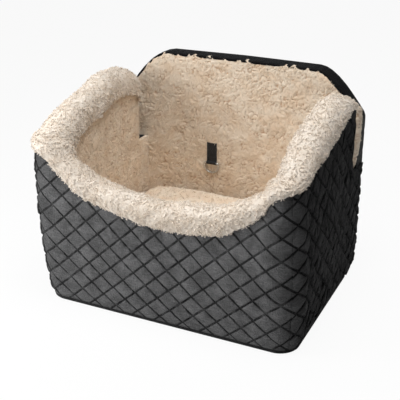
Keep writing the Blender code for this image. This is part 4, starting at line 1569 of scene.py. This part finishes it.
    def welt(self) -> None:
        """Make the piping round the underside."""
        shape = self.shape
        inset, height = shape.welt_radius, shape.welt_radius + shape.gap
        begin, turned = shape.run_corner, shape.run_turned
        runs = np.concatenate([np.linspace(-turned, -begin, 12), np.linspace(-begin, begin, 30)[1:-1],
                               np.linspace(begin, turned, 12)])
        path = list(shape.place(runs, inset, height))
        radius = shape.welt_rear_radius - inset
        across, rear = shape.half - inset - radius, shape.arc_y - radius
        quarter = np.linspace(0.0, math.pi / 2, 8)
        for way, angles in ((1, quarter), (-1, quarter[::-1])):
            path += [(way * (across + radius * math.cos(angle)), rear + radius * math.sin(angle), height)
                     for angle in angles]
        seat_piece("bottom_piping", bent_wire("bottom_piping", path, shape.welt_radius, 4),
                   self.finishes.piping, SEAT, "piping", "bottom_welt")

    def build(self) -> None:
        """Make the whole cover."""
        self.walls()
        self.rear_upper()
        self.rear_lower()
        self.border()
        self.welt()


@dataclass
class FleeceParts:
    """The curly fleece: cuffs over the rim, and the lining of the cabin."""

    shape: SeatShape
    finishes: Finishes
    step: float = 0.0022
    floor_step: float = 0.004
    strip_step: float = 0.002
    strip_radius: float = 0.005
    squareness: float = 2.5
    end_round: float = 0.030
    end_drop: float = 0.013
    arch_points: int = 61
    skin_points: int = 72
    pile: Pile = Pile()
    soft_pile: Pile = Pile(clump=0.011, curl=0.0060, height=0.0042, cracks=0.40, swell=0.0040)
    yarn: Yarn = Yarn()
    tufts: Yarn = Yarn(density=50000.0, curl=0.0018, radius=0.0009, rise=0.0028, turns=0.3, floor=0.5)

    def dress(self, name: str, mesh: Mesh, yarn: Yarn, seed: int, *nodes: str,
              body: str = SEAT, slot: str = "fleece",
              finishes: tuple[Material, ...] = ()) -> Object:
        """Add a fleece skin and the loose curls on it.

        Args:
            name: Name of the piece.
            mesh: The skin.
            yarn: Sizes and number of the curls.
            seed: Seed of the curls' scatter.
            nodes: The solids that the skin stands for.
            body: The body that both ride on.
            slot: The record's material slot.
            finishes: Finishes of the skin and the curls, where they aren't the usual ones.

        Returns:
            The skin's object.
        """
        skin, loose = finishes or (self.finishes.fleece, self.finishes.curls)
        curls = curl_mesh(name + "_curls", mesh, loose, yarn, seed)
        piece = seat_piece(name, mesh, skin, body, slot, *nodes)
        seat_piece(name + "_curls", curls, loose, body, slot)
        return piece

    def section(self, run: float) -> tuple[Array, Array]:
        """Section of a cuff: its puffy outside and its hollow underside.

        Args:
            run: Way round the cover.

        Returns:
            The outside's and the hollow's points, as inset and height.
        """
        shape = self.shape
        edge, crest = float(shape.edge(run)), float(shape.crest(run))
        seat = crest - shape.cuff_top + shape.cuff_seat_gap
        near_end = unit((abs(run) - shape.run_of(shape.wall_end_y) + self.end_round) / self.end_round)
        crest = crest - self.end_drop * (1 - math.sqrt(max(1 - near_end ** 2, 0.0)))
        low_out, low_in = edge + shape.cuff_seat_gap, crest - shape.cuff_inner_drop
        lip, inner = -shape.cuff_overhang, shape.cuff_in
        middle, reach = (inner - shape.cuff_overhang) / 2, (inner + shape.cuff_overhang) / 2
        turn = np.linspace(0.0, math.pi, self.arch_points)
        rise = np.where(2 * turn < math.pi, min(shape.cuff_round, 0.85 * (crest - low_out)),
                        shape.cuff_round)
        across = np.sign(np.cos(turn)) * np.abs(np.cos(turn)) ** (2 / self.squareness)
        up = np.maximum(np.sin(turn), 0.0) ** (2 / self.squareness)
        droop = 0.0006 + 0.0030 * float(value_noise(np.array(run / 0.006), np.array(0.5), 81))
        outside = np.vstack([
            [(0.0, low_out), (lip * 0.62, low_out - droop), (lip * 0.98, low_out - droop * 0.35)],
            np.stack([middle - reach * across, crest - rise + rise * up], axis=1),
            [(inner, low_in + 0.002), (inner - 0.002, low_in), (shape.lining_in, low_in)]])
        lengths = path_lengths(outside)
        even = np.linspace(0.0, lengths[-1], self.skin_points)
        outside = np.stack([np.interp(even, lengths, outside[:, i]) for i in (0, 1)], axis=1)
        hollow = np.array([(shape.lining_out, low_in), (shape.lining_out, seat),
                           (shape.cover, seat), (shape.cover, low_out)])
        return outside, hollow

    def cuff(self, name: str, start: float, end: float, seed: int) -> None:
        """Make one fleece cuff.

        Args:
            name: Name of the solid that it stands for.
            start: Run of its first end.
            end: Run of its last end.
            seed: Seed of its pile.
        """
        _, runs = levels_between(start, end, 0.0, self.step)
        outside, hollow = (np.array(part) for part in zip(*[self.section(run) for run in runs]))
        skin, inner = (self.shape.place(runs[:, None], part[:, :, 0], part[:, :, 1])
                       for part in (outside, hollow))
        normal = normalised(np.cross(np.gradient(skin, axis=0), np.gradient(skin, axis=1)))
        girth = np.cumsum(np.linalg.norm(np.diff(skin, axis=1, prepend=skin[:, :1]), axis=-1), axis=1)
        u, v = np.broadcast_to(runs[:, None], girth.shape), girth
        fine = outside.shape[1]
        share = np.linspace(0.0, 1.0, fine)
        fade = unit(np.minimum(share / 0.02, (1 - share) / 0.04))
        puff = sum(depth * (value_noise(u / wide, v / high, noise) - 0.5)
                   for depth, wide, high, noise in CUFF_PUFFS)
        relief = (self.soft_pile.relief(u, v, 95) + puff) * fade
        rings = np.concatenate([skin + normal * relief[..., None], inner], axis=1)
        last, count = len(runs) - 1, rings.shape[1]
        faces: Faces = []
        for here in range(0, last * count, count):
            for r in range(count):
                after = (r + 1) % count
                faces.append((here + r, here + count + r, here + count + after, here + after))
        faces += [tuple(range(count)), tuple(last * count + r for r in reversed(range(count)))]
        pile = np.zeros((len(runs), count))
        pile[:, :fine] = np.maximum(self.soft_pile.shape(u, v, 95), 0.0)
        pile[:, 0] = pile[:, fine - 1:] = 0.0
        mesh = closed_mesh("fleece_" + name, rings.reshape(-1, 3), faces, {"pile": pile.ravel()}, 70.0)
        piece = self.dress("fleece_" + name, mesh, self.tufts, seed, name,
                           finishes=(self.finishes.cuff, self.finishes.tufts))

    def lined(self, name: str, sheets: tuple[Surface, Surface], relief: Relief, places: Array,
              levels: list[tuple[int, Array]], seed: int, outward: float = 1.0) -> Mesh:
        """Build a panel of lining from its face and its back, with its pile as a chart."""
        return Panel(name, *sheets, relief, places, levels, outward,
                     {"pile": lambda u, v: self.pile.shape(u, v, seed)}).mesh()

    def wall_lining(self, name: str, start: float, end: float, seed: int) -> None:
        """Make the lining of one wall.

        Args:
            name: Name of the solid that it stands for.
            start: Run of its first edge.
            end: Run of its last edge.
            seed: Seed of its pile.
        """
        shape = self.shape
        places = shape.columns(start, end, 0.0, self.step)
        below_cuff = shape.cuff_inner_drop + shape.gap
        tops = [shape.slot_floor if shape.past_wall(run) else float(shape.crest(run)) - below_cuff
                for run in places]
        levels = [levels_between(shape.platform + shape.gap, top, 0.0, self.step) for top in tops]
        sheets = shape.layer(shape.lining_in), shape.layer(shape.lining_out)
        mesh = self.lined("fleece_" + name, sheets, lambda u, v: self.pile.relief(u, v, seed) - 0.0004,
                          places, levels, seed, -1.0)
        self.dress("fleece_" + name, mesh, self.yarn, seed, name)

    def back_lining(self) -> None:
        """Make the backrest's lining: its middle reaches the platform, its wings stand on the slots."""
        shape, seed = self.shape, 131
        inset = shape.cover + shape.gap
        narrow, wide = shape.half - shape.lining_out, shape.half - inset
        foot, split = shape.slot_floor - 0.004, narrow + 2e-5

        def relief(x: Array, z: Array) -> Array:
            """Pile that thins towards the top and the sides."""
            rim = np.minimum(shape.back_top(inset, x) - z, wide - np.abs(x))
            return (self.pile.relief(x, z, seed) + 0.0008) * (0.35 + 0.65 * unit(rim / 0.006))

        sheets = flat_at(shape.back_lining_front_y, 1), flat_at(shape.back_lining_rear_y, 1)
        meshes = []
        for start, end, low in ((-narrow, narrow, shape.platform + shape.gap), (-wide, -split, foot),
                                (split, wide, foot)):
            _, places = levels_between(start, end, 0.0, self.step)
            tops = [float(shape.back_top(inset, x)) for x in places]
            ragged = 0.0095 * value_noise(places / 0.007, places / 0.021, 135) ** 2
            levels = [levels_between(low, top + lift - 0.0012, 0.0, self.step)
                      for top, lift in zip(tops, ragged)]
            meshes.append(self.lined("fleece_lining_back", sheets, relief, places, levels, seed))
        joined = bmesh.new()
        for mesh in meshes + [self.slot_strip(side) for side in Side]:
            joined.from_mesh(mesh)
        joined.to_mesh(meshes[0])
        joined.free()
        self.dress("fleece_lining_back", meshes[0], self.yarn, seed, "lining_back")

    def slot_strip(self, side: Side) -> Mesh:
        """Make the tapering strip of pile that laps round the backrest's side beside a belt slot.

        Args:
            side: Which side it is on.

        Returns:
            The strip's mesh.
        """
        shape, radius, seed = self.shape, self.strip_radius, 162
        low, high = shape.slot_floor + 0.003, shape.side_height - 0.012
        bend = radius * math.pi / 2
        places = np.arange(low, high, self.strip_step)
        levels = []
        for z in places:
            foot, head = unit((z - low) / 0.090), unit((high - z) / 0.040)
            share = foot * (2 - foot) * math.sqrt(head * (2 - head))
            ragged = 0.009 * float(value_noise(np.array(z / 0.009), np.array(side.value * 0.5 + 2), 161))
            levels.append(levels_between(-0.010, 0.002 + (0.015 + ragged) * share, 0.0, self.strip_step))
        rims = {round(float(z), 6): rows[[0, -1]] for z, (_, rows) in zip(places, levels)}

        def sheet(depth: float) -> Surface:
            """Surface at a depth, by height and way round the backrest's edge."""
            def points(z: Array, s: Array) -> Array:
                """Points of the surface."""
                angle = np.clip(s / radius, 0.0, math.pi / 2)
                x = shape.half - radius + np.minimum(s, 0.0) + (radius - depth) * np.sin(angle)
                y = (shape.back_lining_front_y - 0.001 + radius - (radius - depth) * np.cos(angle)
                     + np.maximum(s - bend, 0.0))
                return np.stack(np.broadcast_arrays(side.value * x, y, z), axis=-1)
            return points

        def relief(z: Array, s: Array) -> Array:
            """Pile that thins towards the strip's two edges."""
            ends = np.array([rims[round(float(k), 6)] for k in z])
            rim = unit(np.minimum(s - ends[:, 0], ends[:, 1] - s) / 0.004)
            return 0.0004 + rim * (0.0016 + 0.9 * self.pile.relief(z, s, seed))

        return self.lined("slot_strip_" + side.word, (sheet(0.0), sheet(0.001)), relief, places, levels,
                          seed, -float(side.value))

    def floor_lining(self) -> None:
        """Make the thin lining of the platform, under the cushion."""
        shape, seed = self.shape, 141
        inset, radius = shape.lining_in + shape.gap, shape.inner_corner_radius
        base = shape.platform + shape.gap
        half = shape.half - inset
        front = float(shape.front_face(np.array(base))) + inset
        rear = shape.back_lining_front_y - shape.gap

        def low_y(x: float) -> float:
            """First Y of a column, which follows the rounded front corners."""
            beyond = max(abs(x) - (half - radius), 0.0)
            return front + radius - math.sqrt(max(radius * radius - beyond * beyond, 0.0))

        _, places = levels_between(-half, half, 0.0, self.floor_step)
        levels = [levels_between(low_y(x), rear, 0.0, self.floor_step) for x in places]
        sheets = flat_at(base + shape.floor_lining, 2), flat_at(base, 2)
        mesh = self.lined("fleece_lining_floor", sheets, lambda x, y: 0.0012 * (
            self.pile.shape(x, y, seed) - 1.0), places, levels, seed)
        seat_piece("fleece_lining_floor", mesh, self.finishes.fleece, SEAT, "fleece", "lining_floor")

    def build(self) -> None:
        """Make the three cuffs and every lining panel."""
        shape = self.shape
        cuffs = shape.spans(shape.run_of(shape.wall_end_y))
        for (word, start, end), seed in zip(cuffs, (101, 102, 103)):
            self.cuff("cuff_" + word, start, end, seed)
        linings = shape.spans(shape.run_of(shape.back_lining_front_y - shape.gap))
        for (word, start, end), seed in zip(linings, (111, 112, 113)):
            self.wall_lining("lining_" + word, start, end, seed)
        self.back_lining()
        self.floor_lining()


def node_copy(node: str, name: str) -> Mesh:
    """Copy a solid's mesh with its doubled points merged.

    Args:
        node: Name of the solid.
        name: Name of the copy.

    Returns:
        The copy.
    """
    bm = bmesh.new()
    bm.from_mesh(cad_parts[node].data)
    bmesh.ops.remove_doubles(bm, verts=bm.verts, dist=1e-5)
    bmesh.ops.dissolve_limit(bm, angle_limit=math.radians(1.0), verts=bm.verts, edges=bm.edges)
    mesh = bpy.data.meshes.new(name)
    bm.to_mesh(mesh)
    bm.free()
    if "sharp_face" in mesh.attributes:
        mesh.attributes.remove(mesh.attributes["sharp_face"])
    return mesh


def rounded_copy(node: str, name: str, width: float, segments: int = 2) -> Mesh:
    """Copy a solid with its sharp edges rounded.

    Args:
        node: Name of the solid.
        name: Name of the copy.
        width: Width of the rounding.
        segments: Faces across the rounding.

    Returns:
        The copy.
    """
    carrier = add_object(name + "_carrier", node_copy(node, name))
    bevel = carrier.modifiers.new("round", "BEVEL")
    bevel.width, bevel.segments = width, segments
    bevel.limit_method, bevel.angle_limit = "ANGLE", math.radians(35.0)
    mesh = baked(carrier, name)
    smooth(mesh, 40.0)
    return mesh


@dataclass
class SeatCushion:
    """The loose pad on the platform, swollen by a cloth simulation and covered with pile."""

    fleece: FleeceParts
    voxel: float = 0.005
    cap: float = 0.006
    shrink: float = 0.985
    pressure: float = 4.0
    frames: int = 20
    pile_room: float = 0.004

    def swell(self, pad: Object) -> None:
        """Swell the pad as cloth under pressure, and cap how far each point moves.

        Args:
            pad: The pad, whose mesh is changed.
        """
        start = points_of(pad.data)
        cloth = pad.modifiers.new("swell", "CLOTH")
        cloth.settings.use_pressure = True
        cloth.settings.uniform_pressure_force = self.pressure
        cloth.settings.quality = 4
        cloth.settings.effector_weights.gravity = 0.0
        cloth.collision_settings.use_collision = False
        scene = bpy.context.scene
        for number in range(1, self.frames + 1):
            scene.frame_set(number)
        swollen = pad.evaluated_get(bpy.context.evaluated_depsgraph_get())
        move = points_of(swollen.to_mesh()) - start
        swollen.to_mesh_clear()
        pad.modifiers.clear()
        scene.frame_set(1)
        far = np.linalg.norm(move, axis=1, keepdims=True)
        move_points(pad.data, start + move * np.minimum(1.0, self.cap / np.maximum(far, 1e-9)))

    def pad(self, middle: Array) -> Mesh:
        """Make the swollen pad without its pile.

        Args:
            middle: Middle of the solid's box.

        Returns:
            The pad's mesh.
        """
        mesh = node_copy("seat_cushion", "cushion_core")
        move_points(mesh, middle + (points_of(mesh) - middle) * self.shrink)
        pad = add_object("cushion_carrier", mesh)
        remesh = pad.modifiers.new("voxels", "REMESH")
        remesh.mode, remesh.voxel_size, remesh.use_smooth_shade = "VOXEL", self.voxel, True
        pad.data = applied(pad)
        pad.modifiers.clear()
        self.swell(pad)
        finer = pad.modifiers.new("finer", "SUBSURF")
        finer.levels = finer.render_levels = 1
        return baked(pad, "fleece_seat_cushion")

    def build(self) -> None:
        """Make the cushion, with pile on its top and sides."""
        low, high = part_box("seat_cushion")
        mesh = self.pad(np.array((low + high) / 2))
        points, normals = points_of(mesh), np.array([vert.normal for vert in mesh.vertices])
        side = unit((normals[:, 2] + 0.55) / 0.4)
        shape = self.fleece.pile.shape(points[:, 0], points[:, 1] + 0.7 * points[:, 2], 151) * side
        points = points + normals * ((0.0022 * shape - 0.0006) * side)[:, None]
        room = np.array((0.0, 0.0, self.pile_room))
        move_points(mesh, np.clip(points, np.array(low), np.array(high) + room))
        store(mesh, "pile", shape)
        face_out(mesh)
        mesh.shade_smooth()
        piece = self.fleece.dress("fleece_seat_cushion", mesh, self.fleece.yarn, 152, "seat_cushion",
                                  body=CUSHION, slot="cushion_fleece")


@dataclass
class BeltSlots:
    """The woven bindings of the two belt slots."""

    shape: SeatShape
    finishes: Finishes
    rounding: float = 0.0012
    stitch_lift: float = 0.0002
    stitch_inset: float = 0.004

    def build(self) -> None:
        """Make both bindings, with a row of stitches along the floor's edges."""
        for side in Side:
            node = "belt_slot_binding_" + side.word
            mesh = rounded_copy(node, "woven_" + node, self.rounding, 3)
            seat_piece("woven_" + node, mesh, self.finishes.binding, SEAT, "binding", node)
            low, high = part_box(node)
            floor = self.shape.slot_floor + self.stitch_lift
            lines = [[(x, low.y + 0.009, floor), (x, high.y - 0.003, floor)]
                     for x in (low.x + self.stitch_inset, high.x - self.stitch_inset)]
            name, thread = "slot_stitches_" + side.word, self.finishes.thread
            seat_piece(name, stitch_mesh(name, lines, thread), thread, SEAT, "binding")


@dataclass
class Zip:
    """The zip across the rear: woven tapes, moulded teeth, stops, slider and pull."""

    finishes: Finishes
    pitch: float = 0.0026
    body_share: Triple = (0.38, 1.0, 0.98)
    head_share: Triple = (0.66, 0.8, 0.34)
    head_shift: float = -0.32

    def teeth(self, word: str, way: float) -> None:
        """Make one row of teeth.

        Args:
            word: The row's name.
            way: 1 for the upper row, whose teeth point down, or -1 for the lower one.
        """
        name, node = "zip_teeth_" + word, "zipper_teeth_" + word
        low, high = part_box(node)
        size = high - low
        count = int(size.x / self.pitch)
        tree = GeometryTree("tooth_row", {"Pitch": size.x / count, "Tooth Height": size.z,
                                          "Tooth Depth": size.y, "Way": way}, {"Count": count})
        given = tree.given
        row = tree.add("GeometryNodeMeshLine", {
            "Count": given["Count"], "Offset": tree.vector(given["Pitch"], 0.0, 0.0)}, mode="OFFSET")
        body, head = (tree.add("GeometryNodeMeshCube", {"Size": tree.vector(*[
            tree.times(given[key], part) for key, part in
            zip(("Pitch", "Tooth Depth", "Tooth Height"), share)])}).outputs[0]
            for share in (self.body_share, self.head_share))
        shift = tree.times(tree.times(given["Tooth Height"], self.head_shift), given["Way"])
        head = tree.add("GeometryNodeTransform", {
            "Geometry": head, "Translation": tree.vector(0.0, 0.0, shift)}).outputs[0]
        tooth = tree.add("GeometryNodeJoinGeometry")
        for part in (body, head):
            tree.links.new(part, tooth.inputs[0])
        tree.copies(row.outputs[0], tooth.outputs[0])
        mesh = tree.run(name, bpy.data.meshes.new("empty_row"), self.finishes.teeth)
        middle = (low + high) / 2
        mesh.transform(Matrix.Translation((low.x + size.x / count / 2, middle.y, middle.z)))
        seat_piece(name, mesh, self.finishes.teeth, SEAT, "zip_teeth", node)

    def build(self) -> None:
        """Make the zip."""
        self.teeth("upper", 1.0)
        self.teeth("lower", -1.0)
        for node, name, body, width, segments in (
                ("zipper_stop_left", "zip_stop_left", SEAT, 0.0005, 3),
                ("zipper_stop_right", "zip_stop_right", SEAT, 0.0005, 3),
                ("zipper_slider", "zip_slider_body", SLIDER, 0.00025, 2),
                ("zipper_pull", "zip_pull_tab", PULL, 0.0003, 2)):
            mesh = rounded_copy(node, name, width, segments)
            seat_piece(name, mesh, self.finishes.enamel, body, "zip_metal", node)


@dataclass
class TetherAnchor:
    """The sewn webbing loop on the backrest and its D-ring."""

    finishes: Finishes
    wire: float = 0.002
    ring_width: float = 0.036
    ring_drop: float = 0.024
    ring_corner: float = 0.005
    rounding: float = 0.0004
    hem: float = 0.003
    sewn_height: float = 0.034
    stitch_out: float = 0.0003

    def webbing(self) -> None:
        """Make the webbing with its box of stitches and the cross in it."""
        node, thread = "tether_webbing", self.finishes.thread
        mesh = rounded_copy(node, "woven_" + node, self.rounding)
        seat_piece("woven_" + node, mesh, self.finishes.webbing, SEAT, "webbing", node)
        low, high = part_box(node)
        y = high.y - self.hem - self.stitch_out
        left, right = low.x + self.hem, high.x - self.hem
        foot, top = high.z - self.sewn_height, high.z - self.hem
        corners = [(left, y, foot), (right, y, foot), (right, y, top), (left, y, top)]
        lines = [[corners[a], corners[b]] for a, b in ((0, 1), (1, 2), (2, 3), (3, 0), (0, 2), (3, 1))]
        stitches = stitch_mesh("tether_stitches", lines, thread, 0.0026, 0.002)
        seat_piece("tether_stitches", stitches, thread, SEAT, "webbing")

    def ring(self) -> None:
        """Make the D-ring as a smooth bent wire."""
        low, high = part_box("tether_d_ring")
        middle, top, depth = (low.x + high.x) / 2, high.z - self.wire, (low.y + high.y) / 2
        half, corner = self.ring_width / 2, self.ring_corner
        side = [(half - corner + corner * math.cos(a), corner * (math.sin(a) - 1.0))
                for a in np.linspace(math.pi / 2, 0.0, 8)]
        side += [(half * math.cos(a), -corner - (self.ring_drop - corner) * math.sin(a))
                 for a in np.linspace(0.0, math.pi / 2, 20)[1:]]
        path = [(middle + x, depth, top + z) for x, z in side]
        path += [(middle - x, depth, top + z) for x, z in side[::-1][1:]]
        mesh = bent_wire("d_ring", path, self.wire, 5)
        seat_piece("nickel_d_ring", mesh, self.finishes.nickel, RING, "ring_metal", "tether_d_ring")

    def build(self) -> None:
        """Make the anchor."""
        self.webbing()
        self.ring()


@dataclass
class CarriedNodes:
    """The solids that stay as they are and only get a finish."""

    finishes: Finishes
    foam: tuple[str, ...] = ("foam_base", "foam_front", "foam_left", "foam_right", "foam_back")
    tapes: tuple[str, ...] = ("zipper_tape_upper", "zipper_tape_lower")

    def build(self) -> None:
        """Give each solid its finish."""
        for nodes, material in ((self.foam, self.finishes.foam), (("bottom_panel",), self.finishes.grip),
                                (self.tapes, self.finishes.tape)):
            for node in nodes:
                set_finish(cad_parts[node].data, material)
                LOG.info("%s: finish %s", node, material.name)


@dataclass(frozen=True)
class Lamp:
    """A soft square lamp: its place, what it points at, the length of its side and its watts."""

    name: str
    place: Triple
    target: Triple
    size: float
    power: float

    def build(self) -> None:
        """Hang the lamp."""
        data = bpy.data.lights.new(self.name, "AREA")
        data.shape, data.size, data.energy = "SQUARE", self.size, self.power
        item = add_object(self.name, data)
        item.location = self.place
        aim = Vector(self.target) - Vector(self.place)
        item.rotation_euler = aim.to_track_quat("-Z", "Y").to_euler()


@dataclass
class Studio:
    """Camera, lamps, floor and backdrop."""

    lens: float = 74.538
    eye: Triple = (0.69262, -1.48463, 0.90505)
    right: Triple = (0.90303608, 0.42956424, -0.00068744)
    forward: Triple = (-0.39434211, 0.82835487, -0.39789756)
    floor_half: float = 12.0
    floor_glow: float = 0.93
    surround: float = 0.23
    lamps: tuple[Lamp, ...] = (Lamp("key_lamp", (-0.78, -0.80, 0.62), (-0.1, -0.1, 0.14), 0.5, 6.6),
        Lamp("top_lamp", (0.30, -0.35, 2.1), (0.0, 0.05, 0.25), 1.1, 29.5))

    def camera(self) -> None:
        """Make the camera at the photograph's viewing angle."""
        data = bpy.data.cameras.new("camera")
        data.lens, data.sensor_width = self.lens, 36.0
        data.clip_start, data.clip_end = 0.05, 50.0
        right, forward = Vector(self.right), Vector(self.forward)
        turn = Matrix((right, right.cross(forward), -forward)).transposed()
        item = add_object("camera", data)
        item.matrix_world = Matrix.Translation(self.eye) @ turn.to_4x4()
        bpy.context.scene.camera = item

    def floor(self) -> None:
        """Make the pale floor, which keeps the seat's soft shadow."""
        mesh = bpy.data.meshes.new("studio_floor")
        bm = bmesh.new()
        bmesh.ops.create_grid(bm, x_segments=2, y_segments=2, size=self.floor_half)
        bm.to_mesh(mesh)
        bm.free()
        tree = Tree("studio_white")
        tree.finish(Base_Color=(0.9, 0.9, 0.9, 1.0), Roughness=0.9, Specular_IOR_Level=0.0)
        seen = tree.add("ShaderNodeLightPath").outputs["Is Camera Ray"]
        glow = tree.add("ShaderNodeEmission", {"Color": WHITE, "Strength": 1.0}).outputs[0]
        both = tree.add("ShaderNodeMixShader", {0: tree.times(seen, self.floor_glow),
                                                1: tree.shader.outputs[0], 2: glow}).outputs[0]
        tree.feed(tree.nodes["Material Output"].inputs["Surface"], both)
        set_finish(mesh, tree.material)
        floor = add_object("studio_floor", mesh)

    def world(self) -> None:
        """Make the pale surroundings, whose light on the seat falls off towards the right."""
        world = bpy.data.worlds.new("studio_world")
        world.use_nodes = True
        tree = NodeTree(world.node_tree)
        away = tree.split(tree.add("ShaderNodeTexCoord").outputs["Generated"])[0]
        light = tree.nodes["Background"]
        tree.feed(light.inputs["Color"], WHITE)
        tree.feed(light.inputs["Strength"], tree.ramp(away, -0.5, 0.55, 1.3 * self.surround,
                                                      0.08 * self.surround))
        white = tree.add("ShaderNodeBackground", {"Color": WHITE}).outputs[0]
        seen = tree.add("ShaderNodeLightPath").outputs["Is Camera Ray"]
        both = tree.add("ShaderNodeMixShader", {0: seen, 1: light.outputs[0], 2: white}).outputs[0]
        tree.feed(tree.nodes["World Output"].inputs["Surface"], both)
        bpy.context.scene.world = world

    def build(self) -> None:
        """Make the whole studio."""
        self.camera()
        self.floor()
        self.world()
        for lamp in self.lamps:
            lamp.build()
        bpy.context.scene.view_settings.view_transform = "Standard"


def main() -> None:
    """Build the dressed seat and its studio."""
    logging.basicConfig(level=logging.INFO, format="%(message)s")
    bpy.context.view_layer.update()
    shape = SeatShape()
    finishes = Finishes()
    Studio().build()
    CarriedNodes(finishes).build()
    QuiltedCover(shape, finishes).build()
    fleece = FleeceParts(shape, finishes)
    fleece.build()
    SeatCushion(fleece).build()
    BeltSlots(shape, finishes).build()
    Zip(finishes).build()
    TetherAnchor(finishes).build()


if __name__ == "__main__":
    main()
